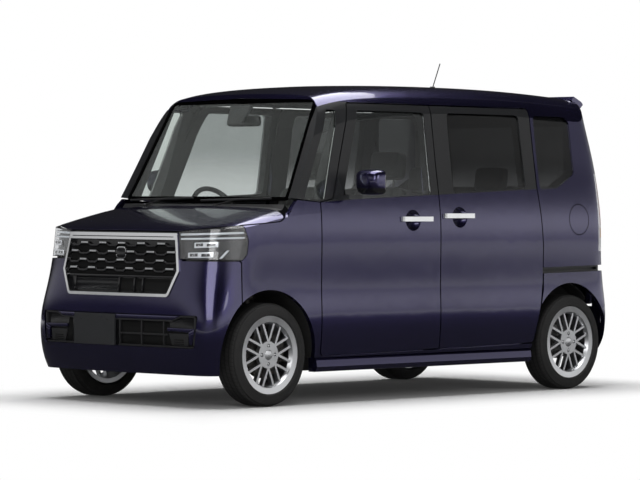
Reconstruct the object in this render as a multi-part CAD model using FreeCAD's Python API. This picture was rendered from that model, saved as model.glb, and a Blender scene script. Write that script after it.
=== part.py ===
"""Tall-bodied kei car with two hinged front doors, two sliding side doors and a tailgate.

Millimetres, +Z up, the front of the car towards -Y and its left side towards +X. The origin lies on
the ground under the middle of the body.
"""
import FreeCAD, Part

import math
import os

from FreeCAD import Placement, Rotation, Vector

doc = FreeCAD.newDocument("kei_car")

# Driving dimensions. Each becomes one cell of the spreadsheet, with its name as the alias.
SIZES = {
    "body_length": 3395.0,
    "body_width": 1475.0,
    "body_height": 1790.0,
    "body_bottom": 172.0,
    "wheelbase": 2520.0,
    "front_overhang": 480.0,
    "track_width": 1305.0,
    "tyre_radius": 281.0,
    "tyre_width": 165.0,
    "tyre_shoulder": 34.0,
    "rim_radius": 212.0,
    "rim_seat_radius": 188.0,
    "rim_width": 150.0,
    "rim_wall": 7.0,
    "hub_radius": 74.0,
    "hub_bore_radius": 28.0,
    "lug_circle_radius": 50.0,
    "spoke_width": 13.0,
    "spoke_depth": 26.0,
    "arch_radius": 352.0,
    "panel_gap": 8.0,
    "door_wall": 60.0,
    "door_clearance": 6.0,
    "frame_depth": 95.0,
    "skin_wall": 26.0,
    "roof_wall": 36.0,
    "hood_wall": 22.0,
    "glass_wall": 5.0,
    "glass_inset": 7.0,
    "seal_gap": 0.3,
    "door_front_y": -822.5,
    "door_split_y": 147.5,
    "sliding_rear_y": 1049.5,
    "door_bottom_front": 262.0,
    "door_bottom_rear": 285.0,
    "door_top_drop": 126.0,
    "belt_front": 1109.0,
    "belt_rear": 1194.0,
    "window_top_drop": 168.0,
    "quarter_glass_rear_y": 1377.0,
    "hood_line_front": 983.0,
    "hood_line_rear": 1004.0,
    "windshield_base_y": -1062.0,
    "windshield_base_height": 1100.0,
    "windshield_run": 317.0,
    "windshield_rise": 590.0,
    "windshield_bow": 32.0,
    "firewall_y": -985.0,
    "floor_height": 275.0,
    "floor_wall": 30.0,
    "luggage_floor_height": 520.0,
    "grille_half_width": 431.0,
    "grille_mid_half_width": 469.0,
    "grille_base_half_width": 403.0,
    "grille_top": 944.0,
    "grille_mid": 733.0,
    "grille_base": 594.0,
    "intake_half_width": 622.0,
    "intake_top": 500.0,
    "intake_base": 322.0,
    "lamp_base": 792.0,
    "fender_front_y": -1425.0,
    "tailgate_half_width": 604.0,
    "tailgate_base": 492.0,
    "tailgate_front_y": 1478.0,
    "rear_bumper_top": 692.0,
    "slide_rail_top": 737.0,
    "tail_lamp_base": 822.0,
    "tail_lamp_top": 1282.0,
    "sill_top": 250.0,
    "sill_depth": 74.0,
    "disc_radius": 128.0,
    "strut_radius": 21.0,
    "axle_tube_radius": 38.0,
    "seat_width": 500.0,
    "seat_cushion_height": 640.0,
    "steering_wheel_radius": 182.0,
    "handle_length": 258.0,
    "handle_height": 27.0,
    "fuel_lid_radius": 88.0,
    "antenna_length": 165.0,
}

sheet = doc.addObject("Spreadsheet::Sheet", "sizes")
for row, (name, value) in enumerate(SIZES.items(), start=1):
    sheet.set(f"A{row}", name)
    sheet.set(f"B{row}", str(value))
    sheet.setAlias(f"B{row}", name)
doc.recompute()


class Named:
    """The spreadsheet's values, read by name."""

    def __getattr__(self, name):
        return float(sheet.get(name))


S = Named()

HALF_WIDTH = S.body_width / 2
NOSE_Y = -S.body_length / 2
TAIL_Y = S.body_length / 2
FRONT_AXLE_Y = NOSE_Y + S.front_overhang
REAR_AXLE_Y = FRONT_AXLE_Y + S.wheelbase
WHEEL_X = S.track_width / 2
DOOR_TOP = S.body_height - S.door_top_drop
WINDOW_TOP = S.body_height - S.window_top_drop
FAR = S.body_width
HALF_GAP = S.panel_gap / 2

PARTS = {}


def keep(obj, label):
    """Register a finished document object as one named piece of the car."""
    obj.Label = label
    PARTS[label] = obj
    return obj


def feature(label, shape):
    """A piece whose surface is lofted: its shape is set straight from the body surfaces."""
    obj = doc.addObject("Part::Feature", label)
    obj.Shape = shape
    obj.Placement = Placement()
    return keep(obj, label)


def solids(shape, least=500.0):
    """Drop the paper-thin crumbs that a boolean can leave at the edge of a panel."""
    kept = [solid for solid in shape.Solids if solid.Volume > least]
    return kept[0] if len(kept) == 1 else Part.makeCompound(kept)


def mirrored(shape):
    return shape.mirror(Vector(0, 0, 0), Vector(1, 0, 0))


def both_sides(shape):
    return Part.makeCompound([shape, mirrored(shape)])


# Closed spline surfaces. The body is the common part of a plan loft (fascia, sides and tail), a roof
# loft (crown and shoulders) and two top surfaces (hood and windshield).
def knot_vector(count, degree):
    spans = count - degree
    multiplicities = [degree + 1] + [1] * (spans - 1) + [degree + 1]
    return [index / spans for index in range(spans + 1)], multiplicities


def spline_surface(net, degree=3):
    surface = Part.BSplineSurface()
    knots_u, mults_u = knot_vector(len(net), degree)
    knots_v, mults_v = knot_vector(len(net[0]), degree)
    surface.buildFromPolesMultsKnots(
        net, mults_u, mults_v, knots_u, knots_v, False, False, degree, degree)
    return surface


def capped_loft(rings):
    """A solid whose skin is one spline surface through closed rings, capped flat at both ends."""
    surface = spline_surface(rings)
    ends = [Part.Face(Part.Wire([surface.uIso(end).toShape()])) for end in (0, 1)]
    shell = Part.Shell([surface.toShape()] + ends)
    shell.sewShape()
    solid = Part.Solid(shell if shell.ShapeType == "Shell" else shell.Shells[0])
    if solid.Volume < 0:
        solid.reverse()
    return solid


def whole_ring(half):
    """Mirror half a ring, which starts and ends on the middle plane."""
    return half + [Vector(-point.x, point.y, point.z) for point in half[-2::-1]]


# Height, inset of the side from the half width, set-back of nose and tail, and their corner reach.
SIDE_LEVELS = [
    (S.body_bottom, 38, 40, 40, 190, 110),
    (S.body_bottom + 45, 26, 22, 22, 190, 110),
    (300, 12, 2, 2, 195, 110),
    (470, 0, 0, 0, 210, 110),
    (600, 10, 12, 20, 290, 115),
    (780, 7, 36, 42, 390, 120),
    (980, 5, 56, 42, 385, 120),
    (S.belt_front, 18, 75, 45, 380, 120),
    (1300, 49, 100, 50, 380, 120),
    (S.body_height - 310, 73, 110, 85, 380, 120),
    (S.body_height - 150, 94, 120, 125, 380, 120),
    (S.body_height + 110, 125, 140, 160, 380, 120),
]
NOSE_BOW = 34.0
TAIL_BOW = 26.0
NOSE_PINCH = 10.0
TAIL_PINCH = 6.0
CORNER_SHRINK = 1.75


def plan_ring(level, inset):
    height, side_inset, nose_set, tail_set, nose_corner, tail_corner = level
    half = HALF_WIDTH - side_inset - inset
    nose = NOSE_Y + nose_set + inset
    tail = TAIL_Y - tail_set - inset
    nose_reach = max(nose_corner - CORNER_SHRINK * inset, 40)
    tail_reach = max(tail_corner - CORNER_SHRINK * inset, 30)
    nose_half = half - NOSE_PINCH
    tail_half = half - TAIL_PINCH

    def nose_at(x):
        return nose + NOSE_BOW * (x / half) ** 2

    def tail_at(x):
        return tail - TAIL_BOW * (x / half) ** 2

    half_ring = [
        (0, tail),
        (half / 2, tail_at(half / 2)),
        (tail_half - tail_reach, tail_at(tail_half - tail_reach)),
        (tail_half, tail_at(half)),
        (tail_half + 1, tail_at(half) - tail_reach),
        (half, tail - 500),
        (half, 0),
        (half, nose + 900),
        (nose_half + 1, nose_at(half) + nose_reach),
        (nose_half, nose_at(half)),
        (nose_half - nose_reach, nose_at(nose_half - nose_reach)),
        (0, nose),
    ]
    return whole_ring([Vector(x, y, height) for x, y in half_ring])


# Station along the car and drop of the roof crown below the full height.
ROOF_STATIONS = [
    (-1900, 300), (-1100, 170), (-735, 72), (-527, 30), (-117, 7),
    (363, 0), (913, 2), (1463, 30), (1683, 50), (1900, 75),
]
# Half breadth of the roof section, and drop below its crown.
ROOF_SECTION = [
    (0, 0), (250, 2), (430, 12), (560, 24), (622, 95), (655, 190), (760, 560), (900, 1200),
]


def roof_ring(station, inset):
    y, drop = station
    crown = S.body_height - drop - inset
    widening = HALF_WIDTH - 737.5
    half_ring = [Vector(0, y, crown)]
    for breadth, fall in ROOF_SECTION[1:]:
        pull = 0.9 * inset if fall > 20 else 0
        spread = widening if fall > 20 else 0
        half_ring.append(Vector(breadth + spread - pull, y, crown - fall))
    half_ring += [Vector(900 + widening, y, 60), Vector(0, y, 60)]
    return whole_ring(half_ring)


HOOD_PROFILE = [
    (NOSE_Y - 200, 560), (NOSE_Y - 92, 800), (NOSE_Y - 8, 905), (NOSE_Y + 58, 962),
    (NOSE_Y + 160, 996), (-1300, 1050), (-1100, 1092), (-900, 1112), (-600, 1126),
]
# Half breadth of the hood section, and drop below its middle line.
HOOD_SECTION = [(0, 0), (250, 3), (480, 9), (610, 18), (690, 32), (725, 62), (770, 130)]


def hood_solid(inset):
    """All that lies under the hood surface."""
    net = []
    for side in (-1, 1):
        section = HOOD_SECTION if side > 0 else HOOD_SECTION[:0:-1]
        for breadth, drop in section:
            net.append([Vector(side * breadth, y, z - drop - inset) for y, z in HOOD_PROFILE])
    return spline_surface(net).toShape().extrude(Vector(0, 0, -S.body_height))


def windshield_solid(inset):
    """All that lies behind the windshield surface and the cowl that runs down from it."""
    lean = S.windshield_run / S.windshield_rise
    shift = inset * math.hypot(1, lean)
    net = []
    for breadth in (-800, -650, -400, 0, 400, 650, 800):
        bow = S.windshield_bow * (breadth / 630) ** 2
        column = [Vector(breadth, S.windshield_base_y - 420 + bow + shift, -100)]
        column.append(Vector(breadth, S.windshield_base_y - 330 + bow + shift, 500))
        column.append(Vector(breadth, S.windshield_base_y - 230 + bow + shift, 850))
        column.append(Vector(breadth, S.windshield_base_y - 105 + bow + shift, 985))
        for share in (-0.06, 0.25, 0.6, 1.0, 1.5):
            y = S.windshield_base_y + share * S.windshield_run + bow + shift
            z = S.windshield_base_height + share * S.windshield_rise
            column.append(Vector(breadth, y, z))
        net.append(column)
    return spline_surface(net).toShape().extrude(Vector(0, 2 * S.body_length, 0))


def cached(function):
    made = {}

    def once(inset):
        if inset not in made:
            made[inset] = function(inset)
        return made[inset]

    return once


@cached
def plan_solid(inset):
    return capped_loft([plan_ring(level, inset) for level in SIDE_LEVELS])


@cached
def roof_solid(inset):
    return capped_loft([roof_ring(station, inset) for station in ROOF_STATIONS])


@cached
def cabin(inset):
    """The greenhouse and all the body behind the windshield, moved inwards by the inset."""
    return plan_solid(inset).common(roof_solid(inset)).common(windshield_solid(inset))


@cached
def front_end(inset):
    """The nose and engine bay under the hood surface, moved inwards by the inset."""
    return plan_solid(inset).common(hood_solid(inset))


def layer(zone, outer, inner, body=cabin):
    """The part of a zone that lies between two depths under the body surface."""
    return zone.common(body(outer)).cut(body(inner))


# Outlines. A point is a pair, or a pair and the radius of its rounded corner.
def outline(points, axis, at):
    def place(a, b):
        return {"X": Vector(at, a, b), "Y": Vector(a, at, b), "Z": Vector(a, b, at)}[axis]

    corners = [place(point[0], point[1]) for point in points]
    radii = [point[2] if len(point) > 2 else 0 for point in points]
    count = len(corners)
    edges = []
    starts = []
    ends = []
    middles = []
    for index, corner in enumerate(corners):
        to_last = (corners[index - 1] - corner)
        to_next = (corners[(index + 1) % count] - corner)
        if radii[index] == 0:
            starts.append(corner)
            ends.append(corner)
            middles.append(None)
            continue
        half_angle = to_last.getAngle(to_next) / 2
        reach = radii[index] / math.tan(half_angle)
        last_way = Vector(to_last).normalize()
        next_way = Vector(to_next).normalize()
        inward = (last_way + next_way).normalize()
        starts.append(corner + last_way * reach)
        ends.append(corner + next_way * reach)
        middles.append(corner + inward * (radii[index] / math.sin(half_angle) - radii[index]))
    for index in range(count):
        if middles[index] is not None:
            edges.append(Part.Arc(starts[index], middles[index], ends[index]).toShape())
        following = starts[(index + 1) % count]
        if ends[index].distanceToPoint(following) > 0.001:
            edges.append(Part.LineSegment(ends[index], following).toShape())
    return Part.Wire(edges)


AXES = {"X": Vector(1, 0, 0), "Y": Vector(0, 1, 0), "Z": Vector(0, 0, 1)}


def prism(points, axis, low, high, grow=0.0):
    """A straight solid on an outline, from low to high along its axis, grown or shrunk all round."""
    face = Part.Face(outline(points, axis, low))
    if grow:
        face = face.makeOffset2D(grow, join=2)
        if face.ShapeType != "Face":
            face = face.Faces[0]
    return face.extrude(AXES[axis] * (high - low))


def block(x0, x1, y0, y1, z0, z1):
    return Part.makeBox(x1 - x0, y1 - y0, z1 - z0, Vector(x0, y0, z0))


def rod(start, end, radius):
    way = Vector(*end) - Vector(*start)
    return Part.makeCylinder(radius, way.Length, Vector(*start), way)


def belt_at(y):
    """Height of the window line, which rises towards the tail."""
    share = (y - S.door_front_y) / (1206.5 - S.door_front_y)
    return S.belt_front + share * (S.belt_rear - S.belt_front)


def bottom_at(y):
    """Height of the lower edge of the doors."""
    share = (y - S.door_front_y) / (971.0 - S.door_front_y)
    return S.door_bottom_front + share * (S.door_bottom_rear - S.door_bottom_front)


# Side view outlines, as distance along the car and height.
SASH_BASE_Y = S.door_front_y + 100.5
SASH_TOP_Y = S.door_front_y + 304.5
FRONT_DOOR = [
    (S.door_front_y, bottom_at(S.door_front_y), 30),
    (S.door_split_y, bottom_at(S.door_split_y), 12),
    (S.door_split_y, DOOR_TOP, 12),
    (SASH_TOP_Y, DOOR_TOP, 20),
    (SASH_BASE_Y, belt_at(SASH_BASE_Y) + 12, 30),
    (S.door_front_y, S.belt_front, 8),
]
FRONT_WINDOW = [
    (SASH_BASE_Y + 78, belt_at(SASH_BASE_Y) + 8, 18),
    (S.door_split_y - 62, belt_at(S.door_split_y) + 4, 24),
    (S.door_split_y - 60, WINDOW_TOP, 26),
    (SASH_TOP_Y + 62, WINDOW_TOP, 26),
]
SLIDING_DOOR = [
    (S.door_split_y, bottom_at(S.door_split_y), 12),
    (S.sliding_rear_y - 78, S.door_bottom_rear, 30),
    (S.sliding_rear_y - 22, 500, 90),
    (S.sliding_rear_y, 640, 90),
    (S.sliding_rear_y, 860, 300),
    (S.sliding_rear_y - 32, 1190, 300),
    (S.sliding_rear_y - 38, DOOR_TOP, 20),
    (S.door_split_y, DOOR_TOP, 12),
]
SLIDING_WINDOW = [
    (S.door_split_y + 128, belt_at(S.door_split_y) + 8, 24),
    (S.sliding_rear_y - 134, belt_at(S.sliding_rear_y) + 4, 30),
    (S.sliding_rear_y - 140, WINDOW_TOP, 30),
    (S.door_split_y + 132, WINDOW_TOP, 26),
]
REAR_QUARTER_WINDOW = [
    (S.sliding_rear_y - 6, belt_at(S.sliding_rear_y), 20),
    (S.quarter_glass_rear_y - 172, S.belt_rear, 60),
    (S.quarter_glass_rear_y, S.belt_rear + 90, 40),
    (S.quarter_glass_rear_y - 6, WINDOW_TOP - 34, 24),
    (S.quarter_glass_rear_y - 48, WINDOW_TOP, 24),
    (S.sliding_rear_y - 8, WINDOW_TOP, 26),
]
PILLAR_LEAN = S.windshield_run / S.windshield_rise
FRONT_QUARTER_WINDOW = [
    (S.windshield_base_y + 112, S.windshield_base_height + 20, 14),
    (SASH_BASE_Y - 66, belt_at(SASH_BASE_Y) + 10, 14),
    (SASH_TOP_Y - 92, WINDOW_TOP, 14),
    (SASH_TOP_Y - 168, WINDOW_TOP, 14),
]
FENDER = [
    (S.door_front_y, S.body_bottom + 30),
    (S.door_front_y, S.belt_front),
    (S.windshield_base_y + 62, S.windshield_base_height + 24),
    (S.windshield_base_y - 65, S.hood_line_rear, 60),
    (-1413.0, S.hood_line_front),
    (-1500.0, S.hood_line_front - 6),
    (-1500.0, S.lamp_base - 10),
    (S.fender_front_y, S.lamp_base - 10),
    (S.fender_front_y, S.body_bottom + 30),
]


def arch_cylinder(axle_y, radius, inner, outer):
    return Part.makeCylinder(
        radius, outer - inner, Vector(inner, axle_y, S.tyre_radius), Vector(1, 0, 0))


def side_glass(window):
    """A curved pane that follows the side of the body, seated all round in its opening."""
    zone = prism(window, "X", 400, FAR, -S.seal_gap)
    return solids(layer(zone, S.glass_inset, S.glass_inset + S.glass_wall))


def door_shell(door, window):
    """One door: the full wall thickness inside its outline, with its window cut through."""
    leaf = layer(prism(door, "X", 300, FAR, -HALF_GAP), 0, S.door_wall)
    return leaf.cut(prism(window, "X", 300, FAR))


# Sunk bowl behind each door handle: centre along the car, height and radius of its rim.
BOWL_RADIUS = 62.0
BOWL_DEPTH = 15.0
HANDLE_HEIGHT_FRONT = 1015.0
HANDLE_HEIGHT_SLIDING = 1033.0
FRONT_HANDLE_Y = S.door_split_y - 202.5
SLIDING_HANDLE_Y = S.door_split_y + 153.0


def side_x(y, z):
    """Outer half breadth of the body at a point of its side."""
    probe = Part.LineSegment(Vector(0, y, z), Vector(FAR, y, z)).toShape()
    return max(vertex.X for vertex in probe.common(cabin(0)).Vertexes)


def bowl(y, z):
    ball = (BOWL_RADIUS ** 2 + BOWL_DEPTH ** 2) / (2 * BOWL_DEPTH)
    return Part.makeSphere(ball, Vector(side_x(y, z) + ball - BOWL_DEPTH, y, z))


def make_doors():
    front = door_shell(FRONT_DOOR, FRONT_WINDOW)
    front = solids(front.cut(bowl(FRONT_HANDLE_Y - 29, HANDLE_HEIGHT_FRONT)))
    sliding = door_shell(SLIDING_DOOR, SLIDING_WINDOW)
    sliding = solids(sliding.cut(bowl(SLIDING_HANDLE_Y + 12, HANDLE_HEIGHT_SLIDING)))
    feature("front_door_left", front)
    feature("front_door_right", mirrored(front))
    feature("sliding_door_left", sliding)
    feature("sliding_door_right", mirrored(sliding))
    front_glass = side_glass(FRONT_WINDOW)
    feature("front_door_glass_left", front_glass)
    feature("front_door_glass_right", mirrored(front_glass))
    feature("sliding_door_glasses", both_sides(side_glass(SLIDING_WINDOW)))


# Rear view outline of the tailgate, as breadth and height, from its lower left corner.
def tailgate_outline():
    half = S.tailgate_half_width
    top = S.body_height + 60
    return [
        (-half + 6, S.tailgate_base, 30), (half - 6, S.tailgate_base, 30),
        (half, S.tail_lamp_base, 200), (half - 8, S.tail_lamp_top, 200), (half - 50, top),
        (-half + 50, top), (-half + 8, S.tail_lamp_top, 200), (-half, S.tail_lamp_base, 200),
    ]


def tailgate_window():
    half = S.tailgate_half_width - 60
    base = S.belt_rear - 20
    top = S.body_height - 190
    return [(-half, base, 50), (half, base, 50), (half - 32, top, 50), (-half + 32, top, 50)]


def tailgate_zone(grow):
    """The block of space that the tailgate fills: its outline, behind its own roof line."""
    hinge_line = block(-FAR, FAR, S.tailgate_front_y - grow, TAIL_Y + 50, 0, S.body_height + 50)
    return prism(tailgate_outline(), "Y", 1300, TAIL_Y + 100, grow).common(hinge_line)


def tail_lamp_zone(grow):
    inner = S.tailgate_half_width + HALF_GAP
    outline_points = [
        (inner, S.tail_lamp_base, 14), (FAR, S.tail_lamp_base - 6), (FAR, S.tail_lamp_top + 20),
        (inner - 9, S.tail_lamp_top, 14),
    ]
    return prism(outline_points, "Y", TAIL_Y - 128, TAIL_Y + 50, grow)


def rail_top_at(y):
    """Lower edge of the quarter panel, above the sliding door's rail."""
    return S.slide_rail_top + (y - REAR_AXLE_Y - 300) / 60


def bumper_top_at(y):
    """Upper edge of the rear bumper, below the sliding door's rail."""
    return S.rear_bumper_top + (y - S.sliding_rear_y) / 60


def side_zone():
    """Everything of the body side that belongs to its pressed frame."""
    base = S.sill_top + 4 + S.seal_gap
    return [
        (S.door_front_y - 3, base), (S.door_front_y - 3, S.belt_front + 1),
        (S.windshield_base_y + 40, S.windshield_base_height + 30),
        (S.windshield_base_y + S.windshield_run, S.windshield_base_height + S.windshield_rise),
        (S.tailgate_front_y - 30, S.body_height - 40), (TAIL_Y + 20, S.body_height - 60),
        (TAIL_Y + 20, rail_top_at(TAIL_Y + 20)),
        (S.sliding_rear_y - 60, rail_top_at(S.sliding_rear_y - 60)), (S.sliding_rear_y - 90, base),
    ]


HINGE_HEIGHTS = (430.0, 860.0)
HINGE_PLATE = (26.0, 60.0)


def door_plates(edge_y):
    """Two plates in a door's pocket that carry its hinges or latches, just clear of its inside."""
    width, height = HINGE_PLATE
    plates = []
    for middle in HINGE_HEIGHTS:
        zone = block(500, FAR, edge_y + 8, edge_y + 8 + width, middle - height / 2, middle + height / 2)
        plates.append(layer(zone, S.door_wall + S.seal_gap, S.frame_depth - 5))
    return plates


def make_side_frames():
    shell = layer(prism(side_zone(), "X", 300, FAR), 0, S.frame_depth)
    roof_cut = block(0, roof_edge(), -2000, 2000, 0, 3000)
    ahead_of_gate = block(0, FAR, -2000, S.tailgate_front_y - HALF_GAP, 1000, 3000)
    shell = shell.cut(roof_cut.common(ahead_of_gate))
    pocket_depth = cabin(S.door_wall + S.door_clearance)
    for door in (FRONT_DOOR, SLIDING_DOOR):
        shell = shell.cut(prism(door, "X", 300, FAR, HALF_GAP).cut(pocket_depth))
        shell = shell.cut(prism(door, "X", 300, FAR, -34))
    shell = shell.cut(prism(REAR_QUARTER_WINDOW, "X", 300, FAR))
    shell = shell.cut(prism(FRONT_QUARTER_WINDOW, "X", 300, FAR))
    shell = shell.cut(prism(windshield_outline(), "Y", -1300, 0, S.seal_gap).cut(
        cabin(S.glass_inset + S.glass_wall + 12)))
    shell = shell.cut(tailgate_zone(HALF_GAP)).cut(tail_lamp_zone(S.seal_gap))
    shell = shell.fuse(door_plates(S.door_front_y) + door_plates(S.door_split_y))
    left = shell.cut(fuel_recess()).fuse(fuel_hinge())
    feature("side_frame_left", solids(left))
    feature("side_frame_right", solids(mirrored(shell)))
    feature("front_quarter_glasses", both_sides(side_glass(FRONT_QUARTER_WINDOW)))
    feature("rear_quarter_glasses", both_sides(side_glass(REAR_QUARTER_WINDOW)))


FUEL_LID_Y = 1382.5
FUEL_LID_HEIGHT = 1010.0
FUEL_LID_WALL = 12.0


def fuel_recess():
    zone = Part.makeCylinder(
        S.fuel_lid_radius + 5, 500, Vector(500, FUEL_LID_Y, FUEL_LID_HEIGHT), Vector(1, 0, 0))
    return zone.cut(cabin(FUEL_LID_WALL + 14))


def fuel_hinge():
    """The small block in the recess that carries the lid's hinge at its front edge."""
    front = FUEL_LID_Y - S.fuel_lid_radius + 4
    zone = block(500, FAR, front, front + 18, FUEL_LID_HEIGHT - 14, FUEL_LID_HEIGHT + 14)
    return layer(zone, FUEL_LID_WALL + S.seal_gap, FUEL_LID_WALL + 20)


def roof_edge():
    return HALF_WIDTH - 135.0


def windshield_outline():
    base_half = HALF_WIDTH - 82.5
    top_half = HALF_WIDTH - 152.5
    base = S.windshield_base_height
    top = S.windshield_base_height + S.windshield_rise
    return [
        (-base_half, base + 16, 20), (0, base - 2, 3000), (base_half, base + 16, 20),
        (top_half, top - 12, 60), (0, top + 2, 3000), (-top_half, top - 12, 60),
    ]


TAILGATE_HINGE_X = 380.0


def make_greenhouse():
    opening = prism(windshield_outline(), "Y", -1300, -500, -S.seal_gap)
    pane = layer(opening, S.glass_inset, S.glass_inset + S.glass_wall)
    feature("windshield", solids(pane))
    edge = roof_edge() - S.seal_gap
    rear_edge = S.tailgate_front_y - HALF_GAP
    zone = block(-edge, edge, -1000, rear_edge, DOOR_TOP - 40, 2000)
    roof = layer(zone, 0, S.roof_wall)
    for middle in (-TAILGATE_HINGE_X, TAILGATE_HINGE_X):
        reach = rear_edge + S.panel_gap - S.seal_gap
        boss = block(middle - 30, middle + 30, rear_edge - 5, reach, DOOR_TOP, 2000)
        roof = roof.fuse(layer(boss, 8, S.roof_wall - 4))
    roof = roof.cut(prism(windshield_outline(), "Y", -1300, -600, S.seal_gap))
    roof = roof.cut(block(-FAR, FAR, -1300, -735, 1000, S.windshield_base_height
                          + S.windshield_rise - 30))
    for door in (FRONT_DOOR, SLIDING_DOOR):
        clear = prism(door, "X", 300, FAR, HALF_GAP + 1)
        roof = roof.cut([clear, mirrored(clear)])
    feature("roof_panel", solids(roof))


def make_tail():
    gate = layer(tailgate_zone(-HALF_GAP), 0, S.door_wall)
    window = prism(tailgate_window(), "Y", 1300, TAIL_Y + 100)
    rear_zone = block(-FAR, FAR, 1380, TAIL_Y + 100, 0, 2000)
    gate = gate.cut(window.common(rear_zone))
    feature("tailgate", solids(gate))
    opening = prism(tailgate_window(), "Y", 1380, TAIL_Y + 100, -S.seal_gap)
    pane = layer(opening, S.glass_inset, S.glass_inset + S.glass_wall)
    feature("tailgate_glass", solids(pane))
    lamp = layer(tail_lamp_zone(0), 0, S.door_wall)
    feature("tail_lamps", both_sides(solids(lamp)))
    make_rear_bumper()
    make_spoiler()


def make_rear_bumper():
    front = S.sliding_rear_y + S.panel_gap
    zone = [
        (front, bumper_top_at(front)), (front, 600), (front - 60, 340), (front - 70, S.body_bottom),
        (TAIL_Y + 20, S.body_bottom), (TAIL_Y + 20, bumper_top_at(TAIL_Y)),
    ]
    shell = layer(prism(zone, "X", -FAR, FAR), 0, S.skin_wall, plan_solid)
    for inner in (300, -FAR):
        shell = shell.cut(arch_cylinder(REAR_AXLE_Y, S.arch_radius, inner, inner + FAR - 300))
    gate_clear = [
        (-S.tailgate_half_width - 4, S.tailgate_base - S.panel_gap),
        (S.tailgate_half_width + 4, S.tailgate_base - S.panel_gap),
        (S.tailgate_half_width + 4, 900), (-S.tailgate_half_width - 4, 900),
    ]
    shell = shell.cut(prism(gate_clear, "Y", TAIL_Y - 300, TAIL_Y + 50))
    feature("rear_bumper", solids(shell))


def make_spoiler():
    """A lip that carries the roof line past the tailgate glass."""
    half = S.tailgate_half_width - 54
    root = TAIL_Y - 182
    section = [
        (root, S.body_height - 62), (root + 20, S.body_height - 39), (TAIL_Y - 90, S.body_height - 70, 60),
        (TAIL_Y - 74, S.body_height - 87, 6), (TAIL_Y - 104, S.body_height - 112, 12),
        (root + 30, S.body_height - 90),
    ]
    lip = prism(section, "X", -half, half).cut(cabin(0))
    feature("roof_spoiler", solids(lip))


def make_front_end():
    wing_zone = prism(FENDER, "X", 300, FAR, -HALF_GAP)
    fender = wing_zone.common(front_end(0)).fuse(wing_zone.common(cabin(0)))
    fender = fender.cut(plan_solid(S.skin_wall))
    fender = fender.cut(arch_cylinder(FRONT_AXLE_Y, S.arch_radius, 300, FAR))
    fender = fender.cut(lamp_zone(2)).cut(block(0, FAR, NOSE_Y, -1428, 0, S.lamp_base))
    fender = fender.cut(block(0, FAR, -1600, -1300, 0, S.body_bottom + 60))
    fender = fender.cut(block(0, FAR, -1000, 0, 0, S.sill_top + 4 + S.seal_gap))
    feature("front_fenders", both_sides(solids(fender)))
    hood_zone = [
        (NOSE_Y - 50, S.grille_top + 4), (-1500, S.grille_top + 12),
        (-1413, S.hood_line_front + 2), (S.windshield_base_y - 65, S.hood_line_rear + 2, 60),
        (S.windshield_base_y - 46, S.hood_line_rear + 30), (S.windshield_base_y - 40, 1300),
        (NOSE_Y - 50, 1300),
    ]
    hood = layer(prism(hood_zone, "X", -FAR, FAR), 0, S.hood_wall, front_end)
    hood = hood.cut(lamp_zone(3)).cut(mirrored(lamp_zone(3)))
    feature("hood", solids(hood))
    make_lamps()
    make_bumper()
    make_grille()
    make_cowl()


def lamp_zone(grow):
    """The space of the left headlamp: a front view outline met by a side view outline."""
    front_view = [
        (S.grille_half_width + 4, S.lamp_base + 8, 8), (FAR, S.lamp_base - 14),
        (FAR, S.hood_line_front - 2), (HALF_WIDTH - 30, S.hood_line_front - 2, 60),
        (HALF_WIDTH - 130, S.grille_top + 22, 60), (S.grille_half_width + 4, S.grille_top + 2, 6),
    ]
    side_view = [
        (NOSE_Y - 50, S.lamp_base - 30), (-1428, S.lamp_base - 6, 24), (-1386, 824, 30),
        (-1376, 904, 60), (-1407, S.hood_line_front, 6), (-1413, S.hood_line_front + 30),
        (NOSE_Y - 50, S.hood_line_front + 30),
    ]
    space = prism(front_view, "Y", NOSE_Y - 60, -1300, grow).common(
        prism(side_view, "X", 380, FAR, grow))
    return space.cut(prism(grille_outline(), "Y", NOSE_Y - 70, -1290, max(S.seal_gap, HALF_GAP - grow)))


LENS_WALL = 4.0
LAMP_DEPTH = 90.0


def make_lamps():
    zone = lamp_zone(-2).common(hood_solid(1))
    lens = layer(zone, 1, 1 + LENS_WALL, plan_solid)
    flange_depth = S.skin_wall + S.seal_gap
    flange = lamp_zone(12).common(hood_solid(S.hood_wall + S.door_clearance))
    body = layer(flange, flange_depth, LAMP_DEPTH, plan_solid)
    rim = layer(zone, 1 + LENS_WALL, flange_depth, plan_solid).cut(lamp_zone(-9))
    feature("headlamp_lenses", both_sides(solids(lens)))
    feature("headlamps", both_sides(solids(body.fuse(rim))))


def grille_outline():
    return [
        (-S.grille_half_width, S.grille_top), (-S.grille_mid_half_width, S.grille_mid, 10),
        (-S.grille_base_half_width, S.grille_base, 30), (S.grille_base_half_width, S.grille_base, 30),
        (S.grille_mid_half_width, S.grille_mid, 10), (S.grille_half_width, S.grille_top),
    ]


def intake_outline():
    half = S.intake_half_width
    return [
        (-half + 20, S.intake_base, 24), (half - 20, S.intake_base, 24), (half, S.intake_top, 16),
        (-half, S.intake_top, 16),
    ]


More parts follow.
